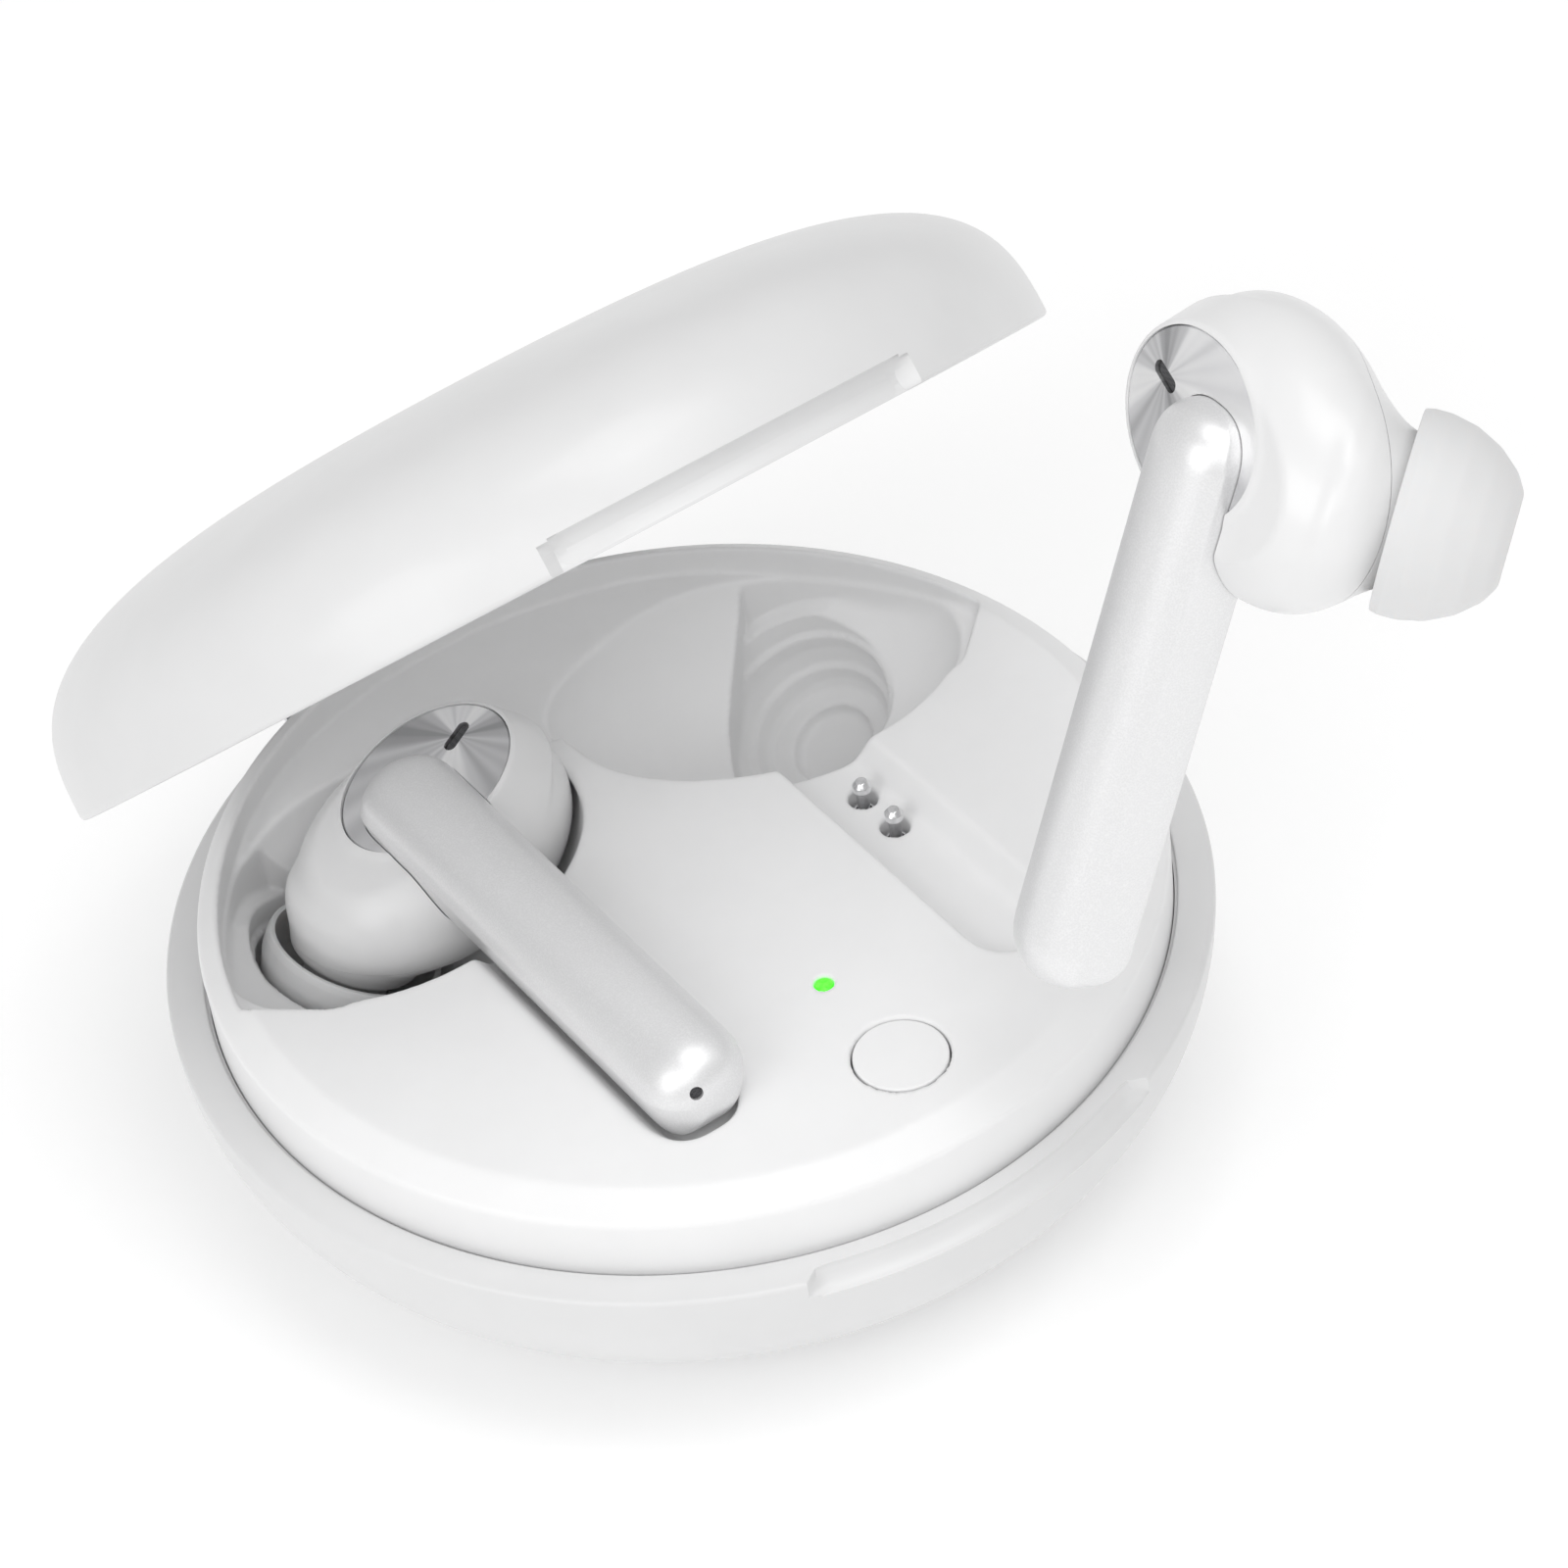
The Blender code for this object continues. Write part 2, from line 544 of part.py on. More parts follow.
# ---- earbuds ----------------------------------------------------------------------------------
STEM_X, STEM_Z = 11.4, 6.5
STEM_W, STEM_H = 6.8, 6.2
STEM_BACK, STEM_FRONT = 15.4, -20.7
STEM_POWER = 3.2
STEM_UNDER_POWER = 1.7   # rounder under the inner side, to clear the deck
STEM_CAP = 3.3           # length of each rounded end
STEM_CAP_POWER = 2.4
STEM_CAP_STEPS, STEM_SEGS = 5, 24
STEM_GAP = 0.14
MIC_AT = (STEM_X + 0.9, -18.9, STEM_Z + 2.8)
MIC_AXIS = Vector((-0.1, -0.35, 0.93)).normalized()
PAD_X = PIN_X - 0.3
HEAD_WALL = 1.1
SEAM_Z = -0.2            # middle of the gap between the head's two halves
SEAM_HALF_GAP = 0.08
SEAM_X, SEAM_Y = (-6, 32), (-8, 32)      # spans of the blocks that cut along the seam
PLATE_C = Vector((9.736, 13.458, 7.264))
PLATE_A, PLATE_B = 6.12, 4.9
PLATE_N = Vector((0.265, 0.016, 0.964)).normalized()
PLATE_TURN = -6.0
SLOT_C = Vector((-3.4, 0.8, 0))          # in the plate's frame
SLOT_R, SLOT_HALF = 0.42, 0.72           # end radius, half the straight length
SLOT_TURN = -13
TIP_C = Vector((17.04, 12.89, -2.43))
TIP_AXIS = Vector((0.469, 0.032, -0.882)).normalized()
TIP_R = 5.7
TIP_L = 6.3

TIP_PROFILE = [          # radius, distance along the tip axis
    # outside of the dome, then the rim of the opening
    (TIP_R - 0.15, 0.0), (TIP_R, 0.25), (TIP_R + 0.02, 1.5), (TIP_R - 0.3, 3.0),
    (TIP_R - 1.05, 4.5), (TIP_R - 2.1, 5.7), (TIP_R - 3.1, TIP_L), (2.0, TIP_L),
    (1.75, TIP_L - 0.3),
    # sleeve round the nozzle, then the inside of the dome
    (1.75, 4.9), (2.1, 4.7), (2.1, 1.0), (2.75, 1.0), (2.8, 4.2), (3.4, 4.55),
    (TIP_R - 1.55, 3.8), (TIP_R - 0.85, 2.6), (TIP_R - 0.5, 1.2), (TIP_R - 0.4, 0.0)]
NECK_PROFILE = [         # radius, distance along the tip axis
    (0, -5.2), (4.6, -5.2), (4.3, -3.2), (3.95, -1.2), (3.85, 0.35), (3.6, 0.6), (1.9, 0.6),
    (1.9, 4.3), (1.75, 4.5), (0, 4.5)]

# poses of the two buds: left docked by mirroring, right held by its plate's centre
HOLD_AT = Vector((18.563, -30.399, 47.155))
HOLD_TURN = Matrix((
    (-0.33432, 0.41228, -0.84750),
    (-0.92294, 0.03884, 0.38298),
    (0.19081, 0.91023, 0.36753),
)).to_4x4()
MIRROR = PARTING @ Matrix.Diagonal((-1, 1, 1, 1))
HELD = PARTING @ at(*HOLD_AT) @ HOLD_TURN @ at(*-PLATE_C)


def stem_section(half_w, half_h):
    points = []
    for t in circle_angles(STEM_SEGS):
        across, rise = math.cos(t), math.sin(t)
        under = across < -1e-9 and rise < -1e-9
        exponent = 2 / (STEM_UNDER_POWER if under else STEM_POWER)
        points.append((half_w * power(across, exponent), half_h * power(rise, exponent)))
    return points


def stem_mesh(grow):
    """Stem with rounded ends, enlarged all round by grow."""
    section = stem_section(STEM_W / 2 + grow, STEM_H / 2 + grow)
    rings = []
    for end, sign in ((STEM_BACK + grow, 1), (STEM_FRONT - grow, -1)):
        block = []
        for i in range(STEM_CAP_STEPS + 1):
            # 1 at the tip, 0 at the straight part
            nearness = math.cos(math.pi / 2 * i / STEM_CAP_STEPS)
            scale = (1 - nearness ** STEM_CAP_POWER) ** (1 / STEM_CAP_POWER)
            y = end - sign * STEM_CAP * (1 - nearness)
            if scale < 1e-6:
                block.append([(STEM_X, y, STEM_Z)])
            else:
                block.append([(STEM_X + x * scale, y, STEM_Z + z * scale) for x, z in section])
        rings += block[::sign]
    return loft(rings)


def plate_frame():
    """Frame at the plate's centre, z along its normal and x near the case's x."""
    x_axis = Vector((1, 0, 0))
    x_axis = (x_axis - PLATE_N * x_axis.dot(PLATE_N)).normalized()
    axes = Matrix((x_axis, PLATE_N.cross(x_axis), PLATE_N)).transposed().to_4x4()
    return at(*PLATE_C) @ axes @ Matrix.Rotation(math.radians(PLATE_TURN), 4, 'Z')


def plate_slab(grow, z0, z1, edge=0.0):
    """Oval slab in the plate's frame, wider than the plate by grow all round."""
    rows = [(grow, z0), (grow, z1)]
    if edge:
        rows = [(grow - edge, z0), (grow, z0 + edge), (grow, z1 - edge), (grow - edge, z1)]
    rings = [[(x, y, z) for x, y in oval(PLATE_A + extra, PLATE_B + extra, 2.0, 32)]
             for extra, z in rows]
    return shift(loft(rings), plate_frame())


def slot_bar(scale, z0, z1):
    """Round-ended bar in the plate's frame."""
    turn = Matrix.Rotation(math.radians(SLOT_TURN), 3, 'Z')
    outline = []
    for t in circle_angles(16):
        x = 0.0
        if abs(math.cos(t)) > 1e-9:
            x = SLOT_R * math.cos(t) + math.copysign(SLOT_HALF, math.cos(t))
        outline.append(turn @ Vector((x * scale, SLOT_R * math.sin(t) * scale, 0)) + SLOT_C)
    rings = [[point + Vector((0, 0, z)) for point in outline] for z in (z0, z1)]
    return shift(loft(rings), plate_frame())


def build_stem(put):
    stem = put("stem_shell", stem_mesh(0.0), PEARL, 40)
    mic_frame = along(MIC_AXIS, MIC_AT)
    combine(stem, put("cut_stem_mic", rod(0.5, -0.9, 2.0, 16, mic_frame)))
    put("stem_mic_mesh", rod(0.36, -0.75, -0.45, 14, mic_frame), DARK_MESH)
    under = STEM_Z - STEM_H / 2
    for which, y in PIN_ROWS:
        frame = at(PAD_X, y, 0)
        combine(stem, put("cut_contact_" + which, rod(0.95, under - 1.0, under + 0.45, 18, frame)))
        put("contact_pad_" + which, rod(0.8, under + 0.03, under + 0.33, 18, frame), GOLD)


def build_head(put, stem_room, cavity):
    """Upper half of the egg-shaped head, with the seat for the plate."""
    head = put("head_shell", head_ellipsoid(0, 32, 14), BUD, 40)
    combine(head, put("plate_seat", plate_slab(0.75, -2.6, 0.12, 0.35)), op='UNION')
    below = box(SEAM_X, SEAM_Y, (-14, SEAM_Z + SEAM_HALF_GAP), base_z=0.0)
    combine(head, cavity, put("cut_plate_seat", plate_slab(0.12, -0.72, 2.0)),
            put("cut_below_seam", below), stem_room)


def build_nozzle(put, cavity):
    """Lower half of the head with its neck, mesh and ear tip."""
    frame = along(TIP_AXIS, TIP_C)
    nozzle = put("nozzle_shell", head_ellipsoid(0, 28, 12), BUD, 40)
    combine(nozzle, put("neck", lathe(NECK_PROFILE, 22, frame)), op='UNION')
    above = box(SEAM_X, SEAM_Y, (SEAM_Z - SEAM_HALF_GAP, 20), base_z=0.0)
    combine(nozzle, cavity, put("cut_above_seam", above),
            put("cut_sound_bore", rod(1.25, -9.0, 8.0, 18, frame)))
    put("ear_tip", lathe(TIP_PROFILE, 26, frame), SILICONE, 40)
    put("nozzle_mesh", rod(1.1, 4.0, 4.25, 18, frame), DARK_MESH)


def build_plate(put, stem_room):
    plate = put("trim_plate", plate_slab(0, -0.6, 0.0, 0.12), PLATE, 35)
    combine(plate, put("cut_slot", slot_bar(1.0, -1.5, 1.0)), stem_room)
    put("slot_mesh", slot_bar(0.82, -0.55, -0.3), DARK_MESH)


def build_bud(tag, pose, flip):
    def put(name, mesh, mat=None, smooth=None):
        return add(name + "_" + tag, shift(mesh, pose, flip), mat, smooth)

    stem_room = put("cut_stem_room", stem_mesh(STEM_GAP))
    cavity = put("cut_head_cavity", head_ellipsoid(-HEAD_WALL, 20, 8))
    build_stem(put)
    build_head(put, stem_room, cavity)
    build_nozzle(put, cavity)
    build_plate(put, stem_room)
    put("speaker_driver", rod(2.9, -1.0, 0.7, 24, at(13.0, 12.5, 0), 0.2), STEEL, 35)
    put("bud_battery", rod(2.7, 0.5, 2.9, 24, at(6.2, 13.2, 0), 0.2), FOIL, 35)


build_bud("left", MIRROR, True)
build_bud("right", HELD, False)

# ---- moving groups: each hangs from an empty at its joint or centre ---------------------------
BUD_PARTS = ("stem_shell", "stem_mic_mesh", "contact_pad_rear", "contact_pad_front",
             "head_shell", "nozzle_shell", "trim_plate", "slot_mesh", "nozzle_mesh",
             "speaker_driver", "bud_battery")


def pivot(name, point, part_names):
    empty = bpy.data.objects.new(name, None)
    empty.empty_display_size = 0.004
    empty.location = Vector(point) * MM
    bpy.context.scene.collection.objects.link(empty)
    for part_name in part_names:
        part = bpy.data.objects[part_name]
        part.data.transform(Matrix.Translation(-empty.location))
        part.parent = empty


def posed(pose, point):
    """A bud point in millimetres after its pose, which works in metres."""
    return pose @ (point * MM) / MM


pivot("pivot_lid", (0, HINGE_Y, PART_Z),
      ["lid_shell", "lid_liner", "lid_hinge_leaf", "lid_magnet_left", "lid_magnet_right"])
pivot("pivot_button", (0, BUTTON_Y, level(DECK_Z)), ["function_button"])
for side, tag in SIDES:
    for which, y in PIN_ROWS:
        pivot(f"pivot_pin_{tag}_{which}", (PIN_X * side, y, PART_Z), [f"charge_pin_{tag}_{which}"])
pivot("pivot_tip_right", posed(HELD, TIP_C), ["ear_tip_right"])
pivot("pivot_bud_right", posed(HELD, PLATE_C), [part + "_right" for part in BUD_PARTS])
pivot("pivot_bud_left", posed(MIRROR, PLATE_C),
      [part + "_left" for part in BUD_PARTS + ("ear_tip",)])
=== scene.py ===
"""Looks for an open round charging case and its two stemmed earbuds.

Shapes are in millimetres: x to the right, y back towards the hinge, z up from the parting
plane between base and lid. The case is centred on the z axis. The left bud lies in its well
and the right one is held above. Meshes end up in metres, z up from the table.
"""
import math
from collections import namedtuple

import bmesh
import bpy
import numpy as np
from mathutils import Matrix, Vector


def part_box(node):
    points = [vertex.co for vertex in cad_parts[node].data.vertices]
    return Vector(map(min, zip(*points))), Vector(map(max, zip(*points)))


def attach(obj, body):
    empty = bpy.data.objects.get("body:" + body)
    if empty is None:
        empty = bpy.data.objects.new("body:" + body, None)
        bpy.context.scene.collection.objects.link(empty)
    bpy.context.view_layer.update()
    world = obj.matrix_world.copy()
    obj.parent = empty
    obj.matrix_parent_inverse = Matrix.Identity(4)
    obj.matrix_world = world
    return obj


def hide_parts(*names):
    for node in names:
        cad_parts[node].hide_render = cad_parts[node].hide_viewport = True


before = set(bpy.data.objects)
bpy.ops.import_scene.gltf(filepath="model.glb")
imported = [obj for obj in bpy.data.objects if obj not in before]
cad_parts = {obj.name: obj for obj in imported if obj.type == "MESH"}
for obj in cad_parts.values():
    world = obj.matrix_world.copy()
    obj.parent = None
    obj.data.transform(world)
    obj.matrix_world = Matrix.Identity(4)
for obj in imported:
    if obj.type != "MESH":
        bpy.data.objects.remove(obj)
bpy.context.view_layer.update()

MM = 0.001
IDENTITY = np.eye(4)
MIRROR = np.diag([-1.0, 1, 1, 1])         # right-hand shapes to the left


# ---- sizes read from the frame ------------------------------------------------------------------
def centre(node):
    low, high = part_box(node)
    return (low + high) / 2 / MM


def half_width(node):
    low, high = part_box(node)
    return (high.x - low.x) / 2 / MM


def top(node):
    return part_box(node)[1].z / MM


CASE_R = half_width("base_shell")
PARTING = top("base_shell") + 0.25        # parting plane above the table
DECK = top("inner_tray") - PARTING        # flat top of the tray
COLLAR_R = half_width("inner_tray")
HINGE_Y = centre("hinge_pin").y
HINGE_Z = centre("hinge_pin").z - PARTING
BUTTON = centre("function_button")
BUTTON_R = half_width("function_button")
LED = centre("status_light_lens")
PIN_X = centre("charge_pin_right_rear").x
PIN_YS = {which: centre("charge_pin_right_" + which).y for which in ("rear", "front")}

# ---- sizes of the case --------------------------------------------------------------------------
BOWL_DEPTH, BOWL_POWER = 18.0, 2.3        # superellipse of the base's outer wall
LID_H, LID_POWER = 12.9, 3.09             # superellipse of the lid
LID_OPEN = 43.2                           # degrees
LID_WALL = 1.0
LINER_GAP, LINER_WALL = 0.15, 0.55
SHELL_SEGMENTS = 288


# ---- points, frames and shapes; a shape is (points, faces) --------------------------------------
def unit(vector):
    vector = np.asarray(vector, float)
    return vector / np.linalg.norm(vector)


def affine(rotation=None, shift=(0, 0, 0)):
    matrix = np.eye(4)
    if rotation is not None:
        matrix[:3, :3] = rotation
    matrix[:3, 3] = shift
    return matrix


def axis_frame(axis, origin):
    """Frame whose z runs along an axis."""
    z = unit(axis)
    helper = np.array([1.0, 0, 0]) if abs(z[0]) < 0.8 else np.array([0, 1.0, 0])
    x = unit(np.cross(helper, z))
    return affine(np.column_stack([x, np.cross(z, x), z]), origin)


def move(matrix, points):
    return np.asarray(points, float) @ matrix[:3, :3].T + matrix[:3, 3]


def placed(matrix, shape):
    points, faces = shape
    return move(matrix, points), faces


def fillet(stations, steps=6):
    """Rounds the corners of an open line of (r, z, corner radius) stations."""
    line = [stations[0][:2]]
    for trio in zip(stations, stations[1:], stations[2:]):
        radius = trio[1][2]
        before, corner, after = (np.array(station[:2], float) for station in trio)
        if radius <= 0:
            line.append(tuple(corner))
            continue
        back, ahead = unit(before - corner), unit(after - corner)
        angle = math.acos(max(-1, min(1, float(back @ ahead))))
        reach = min(radius / math.tan(angle / 2),
                    0.49 * np.linalg.norm(before - corner),
                    0.49 * np.linalg.norm(after - corner))
        start, end = corner + back * reach, corner + ahead * reach
        for k in range(steps + 1):
            t = k / steps
            line.append(tuple((1 - t) ** 2 * start + 2 * t * (1 - t) * corner + t * t * end))
    line.append(stations[-1][:2])
    return line


def loft(rings, closed=False):
    """Skin over rings, where a ring of one point is a pole. A closed skin joins last to first;
    an open one has its end rings capped."""
    rows, total = [], 0
    for ring in rings:
        rows.append(list(range(total, total + len(ring))))
        total += len(ring)
    faces = []
    for low, high in zip(rows, rows[1:] + rows[:1] if closed else rows[1:]):
        count = max(len(low), len(high))
        if count == 1:
            continue
        for i in range(count):
            j = (i + 1) % count
            if len(low) == 1:
                faces.append((low[0], high[j], high[i]))
            elif len(high) == 1:
                faces.append((low[i], low[j], high[0]))
            else:
                faces.append((low[i], low[j], high[j], high[i]))
    if not closed:
        faces += [tuple(row) for row in (rows[0], rows[-1]) if len(row) > 1]
    return np.concatenate([np.asarray(ring, float) for ring in rings]), faces


def spin(profile, segments, closed=False):
    """Surface of revolution of (r, z) points."""
    angle = 2 * np.pi * np.arange(segments) / segments
    rings = []
    for r, z in profile:
        if r < 1e-6:
            rings.append([(0, 0, z)])
        else:
            rings.append(list(zip(r * np.cos(angle), r * np.sin(angle), [z] * segments)))
    return loft(rings, closed)


def rod(radius, low, high, segments, crown=0.0):
    """Cylinder whose top rises by the crown at its centre."""
    return spin([(0, low), (radius, low), (radius, high), (0, high + crown)], segments)


def prism(outline, low, high):
    return loft([[(x, y, z) for x, y in outline] for z in (low, high)])


def block(xs, ys, zs):
    (x0, x1), (y0, y1) = xs, ys
    return (np.array([(x, y, z) for z in zs for x, y in ((x0, y0), (x1, y0), (x1, y1), (x0, y1))],
                     float),
            [(0, 1, 2, 3), (4, 5, 6, 7), (0, 1, 5, 4), (1, 2, 6, 5), (2, 3, 7, 6), (3, 0, 4, 7)])


def superoval(half_x, half_y, power, count):
    t = 2 * np.pi * np.arange(count) / count
    c, s = np.cos(t), np.sin(t)
    return np.stack([half_x * np.sign(c) * np.abs(c) ** (2 / power),
                     half_y * np.sign(s) * np.abs(s) ** (2 / power)], 1)


# ---- objects ------------------------------------------------------------------------------------
def new_object(name, shape, pose=IDENTITY, origin=Matrix.Identity(4)):
    """Linked object with faces wound outward; origin is its own frame in world metres."""
    points, faces = shape
    points = (move(pose, points) + [0, 0, PARTING]) * MM
    points = move(np.array(origin.inverted()), points)
    mesh = bpy.data.meshes.new(name)
    mesh.from_pydata(points.tolist(), [], [list(map(int, face)) for face in faces])
    mesh.update()
    bm = bmesh.new()
    bm.from_mesh(mesh)
    bmesh.ops.recalc_face_normals(bm, faces=bm.faces)
    if bm.calc_volume(signed=True) < 0:
        bmesh.ops.reverse_faces(bm, faces=bm.faces)
    bm.to_mesh(mesh)
    bm.free()
    ob = bpy.data.objects.new(name, mesh)
    bpy.context.scene.collection.objects.link(ob)
    ob.matrix_world = origin
    return ob


def make(name, shape, material, body, replaces, slot, sharp=None, **placing):
    """Finished piece, smooth up to the sharp angle in degrees, standing in for a CAD node."""
    ob = new_object(name, shape, **placing)
    ob.data.shade_smooth()
    if sharp:
        ob.data.set_sharp_from_angle(angle=math.radians(sharp))
    ob.data.materials.append(material)
    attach(ob, body)
    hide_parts(replaces)
    return ob


def cutter(shape, pose=IDENTITY):
    return new_object("cutter", shape, pose)


def cut(ob, cutters, sharp=38):
    """Applies exact cuts and throws the cutters away."""
    for tool in cutters:
        modifier = ob.modifiers.new("cut", "BOOLEAN")
        modifier.operation = "DIFFERENCE"
        modifier.solver = "EXACT"
        modifier.object = tool
    bpy.context.view_layer.update()
    depsgraph = bpy.context.evaluated_depsgraph_get()
    mesh = bpy.data.meshes.new_from_object(ob.evaluated_get(depsgraph))
    ob.modifiers.clear()
    old = ob.data
    ob.data = mesh
    mesh.name = old.name
    bpy.data.meshes.remove(old)
    for tool in cutters:
        bpy.data.objects.remove(tool, do_unlink=True)
    mesh.shade_smooth()
    mesh.set_sharp_from_angle(angle=math.radians(sharp))


# ---- distance fields, negative inside -----------------------------------------------------------
def smooth_max(a, b, width):
    h = np.maximum(width - np.abs(a - b), 0) / width
    return np.maximum(a, b) + h * h * width / 4


def smooth_min(a, b, width):
    return -smooth_max(-a, -b, width)


def ellipsoid(points, radii):
    radii = np.asarray(radii, float)
    k0 = np.sqrt(((points / radii) ** 2).sum(-1))
    k1 = np.sqrt(((points / (radii * radii)) ** 2).sum(-1)) + 1e-9
    return k0 * (k0 - 1) / k1


def split(points):
    return np.moveaxis(points, -1, 0)


CORNERS = [(i, j, k) for i in (0, 1) for j in (0, 1) for k in (0, 1)]


def sample_grid(field, low, counts, cell):
    xs, ys, zs = (low[i] + cell * np.arange(counts[i]) for i in range(3))
    values = np.empty(counts, np.float32)
    step = max(1, int(6e5 // (counts[1] * counts[2])))     # slices at a time, to bound memory
    grid_y, grid_z = np.meshgrid(ys, zs, indexing="ij")
    for i in range(0, counts[0], step):
        part = xs[i:i + step]
        points = np.empty((len(part), counts[1], counts[2], 3))
        points[..., 0] = part[:, None, None]
        points[..., 1] = grid_y
        points[..., 2] = grid_z
        values[i:i + step] = field(points)
    return values


def net_points(values, cells):
    """One point per crossed cell, in cell units: the mean of its edge crossings."""
    total = np.zeros((len(cells), 3))
    hits = np.zeros(len(cells))
    at = {(i, j, k): values[cells[:, 0] + i, cells[:, 1] + j, cells[:, 2] + k]
          for i, j, k in CORNERS}
    for corner in CORNERS:
        for d in range(3):
            if corner[d] == 1:
                continue
            other = list(corner)
            other[d] = 1
            value_a, value_b = at[corner], at[tuple(other)]
            crossed = (value_a < 0) != (value_b < 0)
            crossing = np.tile(np.array(corner, float), (crossed.sum(), 1))
            crossing[:, d] = value_a[crossed] / (value_a[crossed] - value_b[crossed])
            total[crossed] += crossing
            hits[crossed] += 1
    return cells + total / hits[:, None]


def net_quads(inside, counts, number):
    """One quad across each grid edge that passes through the surface."""
    quads = []
    for d in range(3):
        u, w = (d + 1) % 3, (d + 2) % 3
        near, far = [slice(None)] * 3, [slice(None)] * 3
        near[d], far[d] = slice(0, counts[d] - 1), slice(1, counts[d])
        start = inside[tuple(near)]
        edges = np.argwhere(start != inside[tuple(far)])
        edges = edges[(edges[:, u] > 0) & (edges[:, w] > 0)
                      & (edges[:, u] < counts[u] - 1) & (edges[:, w] < counts[w] - 1)]
        leaving = start[edges[:, 0], edges[:, 1], edges[:, 2]]
        columns = []
        for du, dw in ((1, 1), (0, 1), (0, 0), (1, 0)):
            cells = edges.copy()
            cells[:, u] -= du
            cells[:, w] -= dw
            columns.append(number[cells[:, 0], cells[:, 1], cells[:, 2]])
        quad = np.stack(columns, 1)
        quad[~leaving] = quad[~leaving][:, ::-1]
        quads.append(quad)
    return np.concatenate(quads)


def relax(points, quads):
    """Moves each point halfway to the mean of its neighbours, twice."""
    edges = np.concatenate([quads[:, [i, (i + 1) % 4]] for i in range(4)])
    a, b = edges.T
    count = len(points)
    degree = np.bincount(edges.ravel(), minlength=count)[:, None]
    for _ in range(2):
        sums = np.stack([np.bincount(a, points[b, d], count)
                         + np.bincount(b, points[a, d], count) for d in range(3)], 1)
        points = 0.5 * points + 0.5 * sums / np.maximum(degree, 1)
    return points


def pull_to_surface(field, points, cell):
    """Newton steps along the gradient, each no longer than part of a cell."""
    probe = 0.02
    for _ in range(4):
        gradient = np.empty_like(points)
        for d in range(3):
            offset = np.zeros(3)
            offset[d] = probe
            gradient[:, d] = (field(points + offset) - field(points - offset)) / (2 * probe)
        step = field(points) / np.maximum((gradient * gradient).sum(1), 0.2)
        points = points - gradient * np.clip(step, -0.6 * cell, 0.6 * cell)[:, None]
    return points


def surface_nets(field, low, high, cell):
    """Quad mesh of the zero surface of a field inside a box."""
    low, high = np.asarray(low, float), np.asarray(high, float)
    counts = np.ceil((high - low) / cell).astype(int) + 1
    values = sample_grid(field, low, counts, cell)
    inside = values < 0
    filled = sum(inside[i:counts[0] - 1 + i, j:counts[1] - 1 + j, k:counts[2] - 1 + k]
                 .astype(np.int8) for i, j, k in CORNERS)
    crossed = (filled > 0) & (filled < 8)
    cells = np.argwhere(crossed)
    number = np.full(crossed.shape, -1, np.int64)
    number[crossed] = np.arange(len(cells))
    quads = net_quads(inside, counts, number)
    points = relax(low + cell * net_points(values, cells), quads)
    return pull_to_surface(field, points, cell), quads


# ---- materials ----------------------------------------------------------------------------------
class Recipe:
    """A new material, with short calls for its nodes. In keyword names _ stands for a space."""

    def __init__(self, name):
        self.material = bpy.data.materials.new(name)
        self.material.use_nodes = True
        self.tree = self.material.node_tree
        self.shader = self.tree.nodes["Principled BSDF"]

    def link(self, output, target):
        self.tree.links.new(output, target)

    def to_shader(self, output, name):
        self.link(output, self.shader.inputs[name])

    def node(self, kind, **settings):
        node = self.tree.nodes.new("ShaderNode" + kind)
        for key, value in settings.items():
            socket = key.replace("_", " ")
            if socket in node.inputs.keys():
                node.inputs[socket].default_value = value
            else:
                setattr(node, key, value)
        return node

    def coords(self):
        return self.node("TexCoord").outputs["Object"]

    def texture(self, kind, vector, **settings):
        node = self.node("Tex" + kind, **settings)
        self.link(vector, node.inputs["Vector"])
        return node.outputs["Fac" if kind == "Noise" else "Distance"]

    def calc(self, operation, *values):
        node = self.node("Math", operation=operation)
        for socket, value in zip(node.inputs, values):
            if isinstance(value, bpy.types.NodeSocket):
                self.link(value, socket)
            else:
                socket.default_value = value
        return node.outputs[0]

    def colour(self, factor, stops, targets=("Base Color",)):
        """Colour ramp of (position, rgb) stops."""
        node = self.node("ValToRGB")
        elements = node.color_ramp.elements
        while len(elements) < len(stops):
            elements.new(0.5)
        for element, (position, rgb) in zip(elements, stops):
            element.position = position
            element.color = (*rgb, 1)
        self.link(factor, node.inputs["Fac"])
        for target in targets:
            self.to_shader(node.outputs["Color"], target)

    def roughness(self, factor, low, high):
        node = self.node("MapRange", To_Min=low, To_Max=high)
        self.link(factor, node.inputs["Value"])
        self.to_shader(node.outputs["Result"], "Roughness")

    def relief(self, height, strength, distance):
        node = self.node("Bump", Strength=strength, Distance=distance)
        self.link(height, node.inputs["Height"])
        self.to_shader(node.outputs["Normal"], "Normal")

    def finish(self, **values):
        for key, value in values.items():
            self.shader.inputs[key.replace("_", " ")].default_value = value
        return self.material


def grey(level, blue):
    return (level, level, blue)


